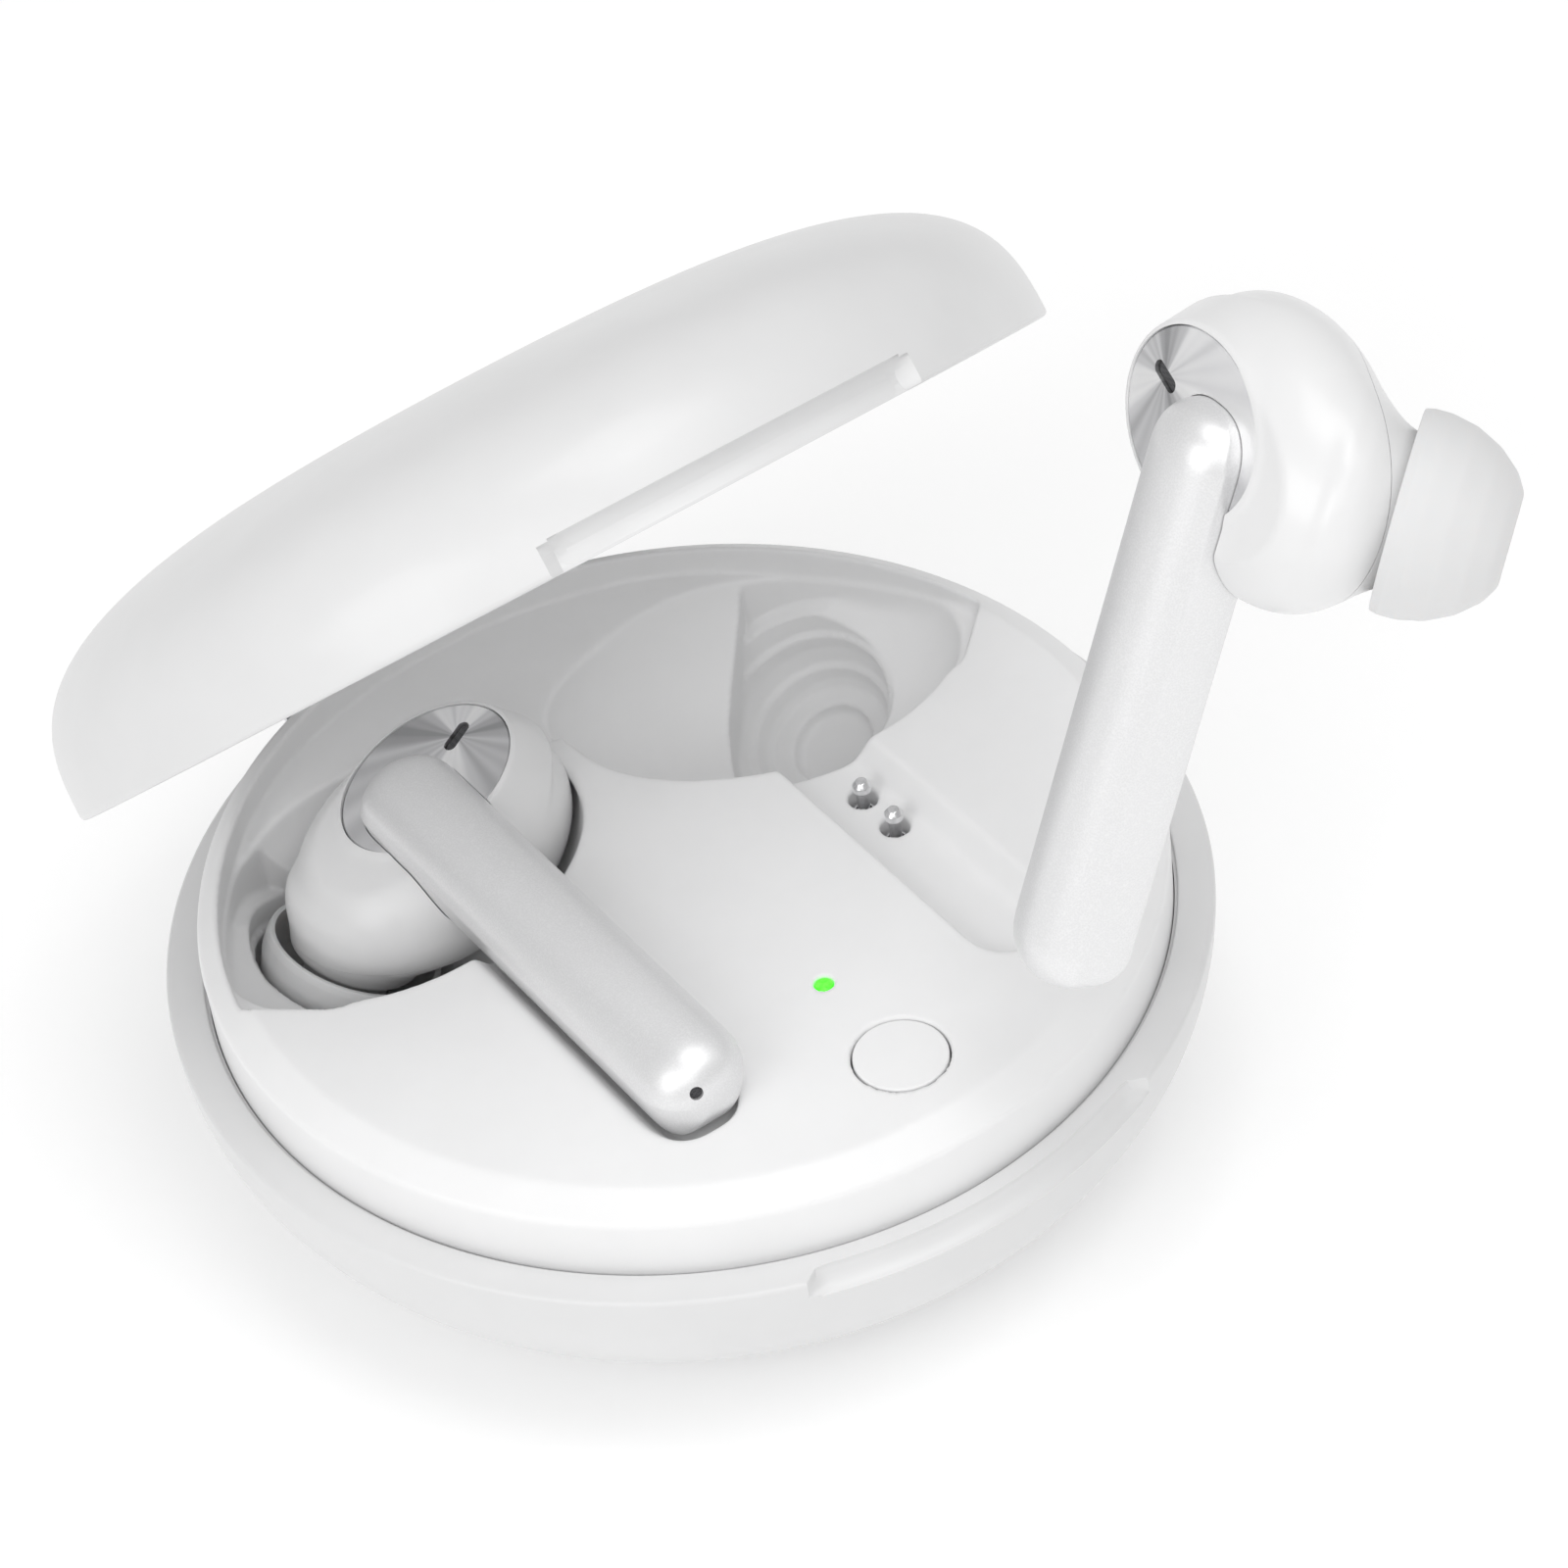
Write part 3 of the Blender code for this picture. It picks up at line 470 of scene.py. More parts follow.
def plastic(name, colour, rough, grain=0.35, strength=0.04, coat=0.0, sss=0.0, cloud=0.012,
            spread=0.05):
    """Moulded plastic: faint colour cloud, fine spark-eroded grain (mm), uneven gloss."""
    m = Recipe(name)
    coords = m.coords()
    clouds = m.texture("Noise", coords, Scale=140.0, Detail=3.0, Roughness=0.55)
    m.colour(clouds, [(0.3, tuple(max(0, c - cloud) for c in colour)),
                      (0.7, tuple(min(1, c + cloud) for c in colour))])
    fine = m.texture("Noise", coords, Scale=1000.0 / grain, Detail=2.0, Roughness=0.6)
    m.roughness(fine, low=max(0.02, rough - spread), high=rough + spread)
    m.relief(fine, strength=strength, distance=0.00004)
    if sss:
        m.finish(Subsurface_Weight=sss, Subsurface_Radius=(0.0012, 0.001, 0.0009),
                 Subsurface_Scale=1.0)
    return m.finish(Coat_Weight=coat, Coat_Roughness=0.12, IOR=1.46)


def pearl(name):
    """Satin pearl lacquer: a flake layer under a soft clear coat."""
    m = Recipe(name)
    coords = m.coords()
    flake = m.texture("Voronoi", coords, Scale=9000.0)
    m.colour(flake, [(0.0, grey(0.76, 0.765)), (1.0, grey(0.85, 0.855))])
    uneven = m.texture("Noise", coords, Scale=260.0, Detail=3.0)
    m.roughness(uneven, low=0.36, high=0.46)
    m.relief(flake, strength=0.05, distance=0.00003)
    return m.finish(Metallic=0.55, Coat_Weight=0.15, Coat_Roughness=0.32)


def turned_metal_painted_sheen(name):
    """Radially turned disc: fine rings round its origin in the relief, with bright and dark
    sectors of painted reflection in its colour.
    """
    sheen_waves = [  # painted reflection sectors, one sine each: cycles per turn, phase, weight
        (2.0, 0.4, 0.5), (5.0, 1.3, 0.28), (11.0, 0.2, 0.12), (23.0, 2.1, 0.1)]
    ring_pitch = 0.00011
    m = Recipe(name)
    coords = m.coords()
    xyz = m.node("SeparateXYZ")
    m.link(coords, xyz.inputs["Vector"])
    angle = m.calc("ARCTAN2", xyz.outputs["Y"], xyz.outputs["X"])
    sines = [m.calc("SINE", m.calc("MULTIPLY_ADD", angle, per_turn, phase))
             for per_turn, phase, _ in sheen_waves]
    total = None
    for sine, (_, _, weight) in zip(sines, sheen_waves):
        term = m.calc("MULTIPLY_ADD", sine, weight * 0.5, 0.5 if total is None else 0.0)
        if total is not None:
            m.link(total, term.node.inputs[2])
        total = term
    # painted reflection: the bright and dark sectors round the centre go into the base colour
    m.colour(total, [(0.12, grey(0.40, 0.41)), (0.42, grey(0.66, 0.67)),
                     (0.62, grey(0.88, 0.89)), (0.85, grey(1.0, 1.0))])
    radius = m.node("VectorMath", operation="LENGTH")
    m.link(coords, radius.inputs[0])
    rings = m.calc("MULTIPLY", radius.outputs["Value"], 2 * math.pi / ring_pitch)
    m.relief(m.calc("SINE", rings), strength=0.12, distance=0.00001)
    tangent = m.node("Tangent", direction_type="RADIAL", axis="Z")
    m.to_shader(tangent.outputs["Tangent"], "Tangent")
    return m.finish(Anisotropic=0.7, Metallic=0.9, Roughness=0.34)


def metal(name, colour, rough, scale, stretch=(1, 1, 1)):
    """Plain or brushed metal: stretched streaks in colour, gloss and height."""
    m = Recipe(name)
    coords = m.coords()
    mapping = m.node("Mapping", Scale=stretch)
    m.link(coords, mapping.inputs["Vector"])
    streaks = m.texture("Noise", mapping.outputs["Vector"], Scale=scale, Detail=4.0)
    m.colour(streaks, [(0.3, tuple(c * 0.85 for c in colour)),
                       (0.7, tuple(min(1, c * 1.1) for c in colour))])
    m.roughness(streaks, low=rough * 0.7, high=rough * 1.3)
    m.relief(streaks, strength=0.08, distance=0.00002)
    return m.finish(Metallic=1.0)


def weave(name, colour, pitch):
    """Fine woven acoustic mesh."""
    m = Recipe(name)
    cells = m.texture("Voronoi", m.coords(), Scale=1.0 / pitch, Randomness=0.15)
    m.colour(cells, [(0.15, tuple(c * 0.25 for c in colour)), (0.5, colour)])
    m.relief(cells, strength=0.5, distance=0.00004)
    return m.finish(Roughness=0.5, Metallic=0.5)


def glowing_lens(name):
    m = Recipe(name)
    mottle = m.texture("Noise", m.coords(), Scale=3000.0, Detail=2.0)
    m.colour(mottle, [(0.35, (0.06, 0.90, 0.02)), (0.65, (0.12, 1.0, 0.05))],
             targets=("Base Color", "Emission Color"))
    return m.finish(Emission_Strength=0.75, Roughness=0.25)


SHELL = plastic("shell_white", grey(0.72, 0.722), rough=0.34, grain=0.25, strength=0.05, coat=0.12)
TRAY = plastic("deck_white", grey(0.86, 0.862), rough=0.42, grain=0.20, strength=0.08)
LINER = plastic("liner_white", grey(0.88, 0.882), rough=0.5, grain=0.20, strength=0.08)
BUD = plastic("bud_white", grey(0.79, 0.792), rough=0.30, grain=0.15, strength=0.004, coat=0.12,
              spread=0.015)
SILICONE = plastic("tip_silicone", grey(0.71, 0.712), rough=0.55, grain=0.12, strength=0.06,
                   sss=0.25)
PEARL = pearl("stem_pearl")
TURNED = turned_metal_painted_sheen("turned_plate")
STEEL = metal("brushed_steel", grey(0.60, 0.62), rough=0.3, scale=1200.0, stretch=(0.05, 1, 1))
NICKEL = metal("nickel", grey(0.62, 0.64), rough=0.25, scale=1800.0)
CHROME = metal("pin_metal", grey(0.78, 0.79), rough=0.18, scale=2500.0, stretch=(1, 1, 0.05))
GOLD = metal("contact_gold", (0.83, 0.64, 0.36), rough=0.24, scale=2600.0)
WEAVE = weave("acoustic_mesh", grey(0.10, 0.105), pitch=0.00011)
FOIL = metal("cell_foil", (0.55, 0.56, 0.58), rough=0.45, scale=700.0)
BOARD = plastic("solder_mask", (0.03, 0.17, 0.09), rough=0.42, grain=0.5, strength=0.2, cloud=0.02)
BLACK = plastic("black_moulding", grey(0.03, 0.032), rough=0.5, cloud=0.01)
GREEN = glowing_lens("status_green")
CHIP = plastic("chip_body", grey(0.8, 0.74), rough=0.4)

# ---- shared by base and lid ---------------------------------------------------------------------
SCOOP_HALF_ANGLE = math.radians(20.2)
SCOOP_PATH_R = CASE_R + 0.12


def bowl_r(z):
    return CASE_R * (1 - (np.abs(z) / BOWL_DEPTH) ** BOWL_POWER) ** (1 / BOWL_POWER)


def scooped(shape, path_z, tool_r):
    """Presses a bar with ball ends, bent along the rim at the front, into the outer wall."""
    v, faces = shape
    r = np.hypot(v[:, 0], v[:, 1])
    angle = np.arctan2(v[:, 0], -v[:, 1])
    beyond_end = np.maximum(np.abs(angle) - SCOOP_HALF_ANGLE, 0) * SCOOP_PATH_R
    bite2 = tool_r ** 2 - beyond_end ** 2 - (v[:, 2] - path_z) ** 2
    bite = np.sqrt(np.maximum(bite2, 0))
    wall = np.where(bite2 > 0, SCOOP_PATH_R - bite, SCOOP_PATH_R + (-bite2) * 1.5)
    pressed = smooth_min(r, wall, 0.08)
    hit = (r > CASE_R - 1.9) & (pressed < r)
    scale = np.where(hit, pressed / np.maximum(r, 1e-6), 1.0)
    v = v.copy()
    v[:, 0] *= scale
    v[:, 1] *= scale
    return v, faces


def hinge_cutter():
    """Bar along the hinge axis."""
    return cutter(placed(axis_frame((1, 0, 0), (0, HINGE_Y, HINGE_Z)),
                         rod(1.66, -10.6, 10.6, 48)))


# ---- base shell ---------------------------------------------------------------------------------
USB_Z = -6.1


def base_shell():
    foot = [(r, -PARTING) for r in (0, 6, 12, 16, 18.6)] + [(19.6, -15.08), (20.35, -14.98)]
    heights = np.linspace(-14.75, -0.95, 70)
    wall_heights = [*heights[heights < -3.5], *np.linspace(-3.4, -1.0, 40)]
    wall = [(bowl_r(z), z) for z in wall_heights]
    rim = fillet([  # r, z, corner radius: over the rim and down inside the collar seat
        (bowl_r(-0.95), -0.95, 0), (CASE_R, -0.26, 0.62), (31.6, -0.25, 0), (30.62, -0.28, 0.35),
        (30.62, -0.62, 0.1), (COLLAR_R + 0.07, -0.62, 0), (COLLAR_R + 0.07, -3.2, 0)], 8)
    inner = [(min(bowl_r(z) - 1.3, 30.9), z) for z in np.linspace(-3.4, -12.9, 16)]
    floor = [(17.0, -13.9), (8, -13.9), (0, -13.9)]
    shape = scooped(spin(foot + wall + rim + inner + floor, SHELL_SEGMENTS),
                    path_z=-0.30, tool_r=1.32)
    shell = make("base_shell_outer", shape, SHELL, "base", "base_shell", "case_white", sharp=38)
    usb = superoval(4.75, 1.75, 4.0, 64)
    usb_hole = loft([[(x, y, USB_Z + z) for x, z in usb] for y in (27.0, 36.0)])
    hinge_notch = block((-10.3, 10.3), (30.2, 31.9), (-4.8, 0.4))
    cut(shell, [cutter(usb_hole), hinge_cutter(), cutter(hinge_notch)])


base_shell()

# ---- lid, built shut and turned open about the hinge --------------------------------------------
swing = -math.radians(LID_OPEN)
SWING = np.array([[1, 0, 0], [0, math.cos(swing), -math.sin(swing)],
                  [0, math.sin(swing), math.cos(swing)]])
hinge = np.array([0, HINGE_Y, HINGE_Z])
OPEN = affine(SWING, hinge - SWING @ hinge)


def dome(inset, z_low, count):
    """Evenly spaced points up the lid's curve, inset from its outer face, to the pole."""
    radius, height = CASE_R - inset, LID_H - inset
    t = np.linspace(math.asin(min(1.0, (z_low / height) ** (LID_POWER / 2))), math.pi / 2, 3000)
    r = radius * np.cos(t) ** (2 / LID_POWER)
    r[-1] = 0.0
    z = height * np.sin(t) ** (2 / LID_POWER)
    length = np.r_[0, np.cumsum(np.hypot(np.diff(r), np.diff(z)))]
    even = np.linspace(0, length[-1], count)
    return list(zip(np.interp(even, length, r), np.interp(even, length, z)))


def lid_shell():
    rim = fillet([(32.0, 1.0, 0), (32.0, 0.1, 0.15), (CASE_R, 0.1, 0.42), (CASE_R, 0.9, 0)], 8)
    low_wall = [(CASE_R * (1 - (z / LID_H) ** LID_POWER) ** (1 / LID_POWER), z)
                for z in np.linspace(0.75, 4.2, 44)]
    outer = rim[1:-1] + low_wall + dome(0, 4.3, 70)
    inner = dome(LID_WALL, 1.0, 44)[::-1]
    shape = scooped(spin(outer + inner, SHELL_SEGMENTS, closed=True), path_z=0.90, tool_r=1.30)
    lid = make("lid_shell_outer", shape, SHELL, "lid", "lid_shell", "case_white", sharp=38,
               pose=OPEN)
    cut(lid, [hinge_cutter()])


def lid_liner():
    inset = LID_WALL + LINER_GAP
    profile = dome(inset, 5.2, 40) + dome(inset + LINER_WALL, 5.2, 40)[::-1]
    make("lid_liner_inner", spin(profile, SHELL_SEGMENTS, closed=True), LINER, "lid", "lid_liner",
         "tray_white", sharp=38, pose=OPEN)


lid_shell()
lid_liner()

# ---- right earbud as it lies in its well --------------------------------------------------------
HEAD_CENTRE = np.array([10.51, 12.63, 2.39])
HEAD_RADII = np.array([10.1, 7.79, 5.65])
HEAD_AXES = np.array([[0.9647, 0.2276, 0.1326],
                      [-0.2300, 0.9732, 0.0024],
                      [-0.1285, -0.0328, 0.9912]])
TIP_CENTRE = np.array([17.04, 12.89, -2.43])
TIP_AXIS = unit((0.469, 0.032, -0.882))
TIP_FRAME = axis_frame(TIP_AXIS, TIP_CENTRE)


def head_ellipsoid(points, grow=0.0):
    return ellipsoid((points - HEAD_CENTRE) @ HEAD_AXES, HEAD_RADII + grow)


def tip_coords(points):
    """Distance along the ear tip's axis, and distance from it."""
    offset = points - TIP_CENTRE
    along = offset @ TIP_AXIS
    return along, np.sqrt(np.maximum((offset * offset).sum(-1) - along * along, 0))


# ---- inner tray: modelled on the right, folded over to the left ---------------------------------
WELL_TURN = math.radians(-13.0)
WELL_CENTRE = np.array([14.15, 11.4])
CHANNEL_FLOOR, CHANNEL_INNER, CHANNEL_END_Y = 3.0, 8.9, -17.0
TIP_POCKET = np.array([  # distance along the tip's axis, radius
    (-8.0, 13.5), (0.3, 8.3), (0.45, 6.85), (1.9, 6.4), (2.05, 6.0), (3.2, 5.85),
    (4.3, 5.35), (4.45, 4.9), (5.4, 4.6), (5.9, 4.2), (6.05, 2.9), (7.0, 2.7)])


def well_coords(points):
    """x and y along the well's own axes."""
    c, s = math.cos(WELL_TURN), math.sin(WELL_TURN)
    x, y = points[..., 0] - WELL_CENTRE[0], points[..., 1] - WELL_CENTRE[1]
    return c * x + s * y, -s * x + c * y


def head_well(points, grow=0.0):
    """Egg-shaped well for the head, straight-sided above the deck."""
    local = np.stack([*well_coords(points), np.minimum(points[..., 2] - DECK, 0.0)], -1)
    return ellipsoid(local, (13.45 + grow, 10.7 + grow, 8.3 + grow))


def tip_pocket(points, grow):
    """Stepped bowl for the ear tip, turned about the tip's own axis."""
    along, r = tip_coords(points)
    wall = np.interp(along - grow, *TIP_POCKET.T)
    return smooth_max((r - wall - grow) * 0.82, along - (6.9 + grow), 0.5)


def ridge_side(points):
    """Negative beyond the bent ridge that crosses the well."""
    x, y, _ = split(points)
    bend = (1.9 * np.clip((12.5 - y) / 10, 0, 1) ** 1.3
            + 1.6 * np.clip((y - 14.5) / 5, 0, 1.5) ** 1.5)
    return -((x - 6.2 - bend) * 0.874 - (y - 2.8) * 0.486) + 0.05 * np.abs(y - 10.0)


def mouth(points, grow=0.0):
    """Deeper half of the well, beyond the ridge."""
    x, y = well_coords(points)
    k = np.sqrt((x / 13.4) ** 2 + (y / 10.1) ** 2)
    field = smooth_max((k - 1) * 11.2 - grow, ridge_side(points) - grow, 0.2)
    return smooth_max(field, tip_pocket(points, grow), 0.35)


def deck_plate(r, z):
    """Deck with a sloped edge and a collar, hollow underneath."""
    field = smooth_max(z - DECK, (r - 28.35) * 0.498 + (z - DECK) * 0.867, 0.14)
    field = smooth_max(field, r - COLLAR_R, 0.2)
    field = smooth_max(field, -1.6 - z, 0.2)
    under = smooth_max(r - (COLLAR_R - 1.7), z - 0.8, 0.3)
    return smooth_max(field, -under, 0.3)


def well_walls(points, r, z):
    """Material hanging below the deck round the wells, kept inside the bowl."""
    walls = np.maximum(head_well(points + np.array([0.2, 0.0, 0.9]), 0.95), z - 3.0)
    walls = np.minimum(walls, np.maximum(head_ellipsoid(points, 1.3), z - 3.0))
    walls = np.minimum(walls, np.maximum(mouth(points, 0.9), z - 2.6))
    bowl = bowl_r(np.minimum(np.abs(z), 17.5)) - 1.75
    return np.maximum(walls, r - np.minimum(bowl, COLLAR_R - 0.1))


def hinge_recess(x, y, z, r):
    """Crescent recess: falls toward the hinge and the sides, with short end walls."""
    side = np.clip((x - 14.0) / 10.0, 0, 1)
    depth = np.clip((y - 4.0) * 0.115, -1.0, 3.0) + 1.0 * side * side * (3 - 2 * side)
    end_wall = smooth_max((x - 24.5) * 0.669 - (y - 3.0) * 0.743, 2.2 - y, 0.8)
    return smooth_max(smooth_max(r - 28.9, end_wall, 0.8), (DECK - depth) - z, 0.25)


def bud_cavity(points, r, z):
    """Head well, tip pocket and clearance round the head."""
    room = np.maximum(head_ellipsoid(points, 0.35), z - 3.2)
    cavity = smooth_min(head_well(points), room, 0.5)
    cavity = smooth_min(cavity, np.maximum(mouth(points), z - 4.4), 0.10)
    return smooth_max(cavity, r - 28.75, 0.4)


def stem_channel(x, y, z):
    """Channel with a leaning outer wall and a rounded front end."""
    rise = np.clip((z - CHANNEL_FLOOR) / (DECK - CHANNEL_FLOOR), -0.3, 1.6)
    outer_x = 13.65 + 1.35 * rise
    half = (outer_x - CHANNEL_INNER) / 2
    end_y = np.maximum(CHANNEL_END_Y - y, 0) / 3.85
    end_x = np.abs(x - (CHANNEL_INNER + half)) / half
    end = ((end_x ** 2.6 + end_y ** 2.6) ** (1 / 2.6) - 1) * half
    sides = np.maximum((x - outer_x) * 0.77, CHANNEL_INNER - x)
    channel = np.where(y < CHANNEL_END_Y, end, sides)
    channel = smooth_max(channel, y - 6.0, 0.3)
    return smooth_max(channel, CHANNEL_FLOOR - z, 0.5)


def tray_field(points):
    true_x = points[..., 0]
    folded = points.copy()
    folded[..., 0] = np.abs(true_x)
    x, y, z = split(folded)
    r = np.sqrt(x * x + y * y)
    field = smooth_min(deck_plate(r, z), well_walls(folded, r, z), 0.4)
    field = smooth_max(field, -hinge_recess(x, y, z, r), 0.22)
    field = smooth_max(field, -bud_cavity(folded, r, z), 0.4)
    field = smooth_max(field, -stem_channel(x, y, z), 0.3)
    for pin_y in PIN_YS.values():
        pin_hole = np.sqrt((x - PIN_X) ** 2 + (y - pin_y) ** 2) - 0.95
        field = smooth_max(field, -pin_hole, 0.12)
    button_hole = np.sqrt(x * x + (y - BUTTON.y) ** 2) - (BUTTON_R + 0.12)
    field = smooth_max(field, -button_hole, 0.12)
    lamp_hole = np.sqrt((true_x - LED.x) ** 2 + (y - LED.y) ** 2) - 0.62
    return smooth_max(field, -lamp_hole, 0.12)


make("inner_tray_deck",
     surface_nets(tray_field, (-31, -31, -12.4), (31, 31, 5.3), 0.24),
     TRAY, "base", "inner_tray", "tray_white")

# ---- button, lamp, pins -------------------------------------------------------------------------
LENS_R, LENS_CROWN = 0.55, 0.12
LEFT_PIN_DROP = -1.25                     # the left pins stand lower than the right ones
BUTTON_TOP = DECK - 0.02
BUTTON_PROFILE = [  # r, z, corner radius
    (0, 1.75, 0), (0.9, 1.75, 0), (0.9, 3.1, 0.1),
    (BUTTON_R, 3.1, 0.1), (BUTTON_R, BUTTON_TOP, 0.16), (0, BUTTON_TOP - 0.06, 0)]
PIN_PROFILE = [  # r, z, corner radius
    (0, -0.4, 0), (0.4, -0.4, 0), (0.4, 3.55, 0.1), (0.58, 3.7, 0.1),
    (0.60, 4.15, 0.12), (0.34, 4.5, 0.15), (0, 4.5, 0)]
SOCKET_PROFILE = [  # r, z, corner radius
    (0, -3.25, 0), (0.8, -3.25, 0), (0.8, 2.0, 0.08), (0.55, 2.0, 0.08), (0.55, -2.6, 0),
    (0, -2.6, 0)]


def lamp_lens():
    shoulder = DECK - LENS_CROWN
    profile = [(0, -2.3), (LENS_R, -2.3), (LENS_R, shoulder)]
    profile += [(LENS_R * math.cos(t), shoulder + LENS_CROWN * math.sin(t))
                for t in np.linspace(0.2, 1.4, 6)]
    make("lamp_lens", spin(profile + [(0, DECK)], 48), GREEN, "base", "status_light_lens",
         "status_green", sharp=60, pose=affine(shift=(LED.x, LED.y, 0)),
         origin=Matrix.Translation(Vector((LED.x, LED.y, PARTING + DECK)) * MM))


def charge_pin(side, which, x, drop):
    y = PIN_YS[which]
    place = f"{side}_{which}"
    make("pin_" + place, spin(fillet(PIN_PROFILE, 4), 48), CHROME, "pin_" + place,
         "charge_pin_" + place, "contact_gold", sharp=40, pose=affine(shift=(x, y, drop)))
    make("pin_socket_" + place, spin(fillet(SOCKET_PROFILE, 4), 48), CHROME, "base",
         "pin_barrel_" + place, "contact_gold", sharp=40, pose=affine(shift=(x, y, 0)))


make("button_cap", spin(fillet(BUTTON_PROFILE), 128), TRAY, "button", "function_button",
     "tray_white", sharp=50, pose=affine(shift=(BUTTON.x, BUTTON.y, 0)))
lamp_lens()
for side, x, drop in (("right", PIN_X, 0.0), ("left", -PIN_X, LEFT_PIN_DROP)):
    for which in PIN_YS:
        charge_pin(side, which, x, drop)

# ---- earbud sizes -------------------------------------------------------------------------------
PLATE_CENTRE = np.array([9.736, 13.458, 7.264])
PLATE_NORMAL = unit((0.265, 0.016, 0.964))
PLATE_TURN = math.radians(-6.0)
PLATE_HALF_X, PLATE_HALF_Y = 6.12, 4.9
flat_x = unit(np.array([1.0, 0, 0]) - PLATE_NORMAL * PLATE_NORMAL[0])
flat_y = np.cross(PLATE_NORMAL, flat_x)
PLATE_AXES = np.column_stack([
    flat_x * math.cos(PLATE_TURN) + flat_y * math.sin(PLATE_TURN),
    -flat_x * math.sin(PLATE_TURN) + flat_y * math.cos(PLATE_TURN), PLATE_NORMAL])
PLATE_FRAME = affine(PLATE_AXES, PLATE_CENTRE)
PLATE_EDGE = [  # scale of the outline, z: up the rim and over the slightly dished face
    (1.0, -0.6), (1.0, -0.08), (0.985, 0.0), (0.93, -0.015), (0.7, -0.03), (0.45, -0.04),
    (0.2, -0.04)]
SLOT = np.array([-3.4, 0.8])              # slot centre on the plate
SLOT_TURN = math.radians(-13)

# pose of the held bud, about its plate centre
HELD = affine(np.array([[-0.33432, 0.41228, -0.84750],
                        [-0.92294, 0.03884, 0.38298],
                        [0.19081, 0.91023, 0.36753]]),
              (18.563, -30.399, 47.155)) @ affine(shift=-PLATE_CENTRE)

STEM_X, STEM_Z = 11.4, 6.5                # stem axis, which runs along y
STEM_REAR, STEM_FRONT, STEM_CAP = 15.4, -20.7, 3.3
STEM_UNDERSIDE = STEM_Z - 3.1
STEM_POINTS = np.array([  # x, z about the stem axis
    (3.4, 0.35), (2.95, 1.4), (2.12, 2.3), (0.85, 2.95), (-0.6, 3.08), (-2.0, 2.7), (-3.0, 1.7),
    (-3.38, 0.3), (-3.1, -1.2), (-2.35, -2.5), (-1.1, -3.1), (1.75, -3.1), (2.42, -2.75),
    (2.92, -1.5)])
STEM_CREASE = 0                           # point where the outline has a corner
STEM_STRAIGHT = (10, 13)                  # points that start a straight stretch
MIC_FRAME = axis_frame((0.25, -0.80, 0.45), (STEM_X + 1.05, -20.38, STEM_Z + 1.15))
NECK = np.array([  # distance along the tip's axis, radius
    (-3.2, 5.3), (-2.0, 5.0), (-1.0, 4.6), (0.35, 4.2)])
TIP_R, TIP_LENGTH = 5.7, 6.3
TIP_PROFILE = [  # r, z, corner radius: outer skirt, bore, then the inside of the skirt
    (TIP_R - 0.42, 0.02, 0), (TIP_R - 0.1, 0.0, 0.12), (TIP_R + 0.02, 0.5, 0.6),
    (TIP_R + 0.02, 1.5, 2), (TIP_R - 0.3, 3.0, 2), (TIP_R - 1.05, 4.5, 2), (TIP_R - 2.1, 5.7, 2),
    (TIP_R - 3.1, TIP_LENGTH, 1.2), (2.1, TIP_LENGTH, 0.4), (1.75, TIP_LENGTH - 0.3, 0.2),
    (1.75, 4.9, 0.2), (2.1, 4.7, 0.2), (2.1, 1.0, 0.1), (2.75, 1.0, 0.2), (2.8, 4.2, 0.3),
    (3.4, 4.55, 0.4), (TIP_R - 1.55, 3.8, 0.6), (TIP_R - 0.85, 2.6, 0.8), (TIP_R - 0.5, 1.2, 0.8)]
PAD_R, PAD_X = 0.8, PIN_X - 0.3
PAD_PROFILE = [(0, 0.03, 0), (PAD_R, 0.03, 0.1), (PAD_R, 0.33, 0.1), (0, 0.33, 0)]


# ---- earbud head --------------------------------------------------------------------------------
def neck(points):
    along, r = tip_coords(points)
    field = smooth_max(r - np.interp(along, *NECK.T), along - 0.55, 0.3)
    return smooth_max(field, -3.2 - along, 0.8)


def head_field(points):
    head = smooth_min(head_ellipsoid(points), neck(points), 1.4)
    x, y, z = split((points - PLATE_CENTRE) @ PLATE_AXES)
    # flat land in the plane of the plate, and the seat that carries it where it stands proud
    head = smooth_max(head, z - 0.06, 0.15)
    half_x, half_y = PLATE_HALF_X + 0.30, PLATE_HALF_Y + 0.30
    k = np.sqrt((x / half_x) ** 2 + (y / half_y) ** 2)
    seat = ((k - 1) * half_y + z * 0.42) * 0.9
    seat = smooth_max(seat, z - 0.06, 0.22)
    seat = smooth_max(seat, -3.2 - z, 0.3)
    return smooth_min(head, seat, 0.45)


def nozzle_field(points):
    """Head with the nozzle tube and its bore."""
    along, r = tip_coords(points)
    tube = np.maximum(smooth_max(r - 1.85, along - 4.4, 0.25), -1 - along)
    field = smooth_min(head_field(points), tube, 0.2)
    return smooth_max(field, -np.maximum(r - 1.25, -3 - along), 0.1)


# both halves overlap at z = 0 and are trimmed there
HEAD_CELL = 0.19
UPPER = surface_nets(lambda p: np.maximum(head_field(p), -0.9 - p[..., 2]),
                     (-1.6, 3.0, -1.6), (22.5, 22.5, 9.9), HEAD_CELL)
LOWER = surface_nets(lambda p: np.maximum(nozzle_field(p), p[..., 2] - 0.5),
                     (-1.6, 3.0, -9.5), (22.5, 22.5, 1.2), HEAD_CELL)


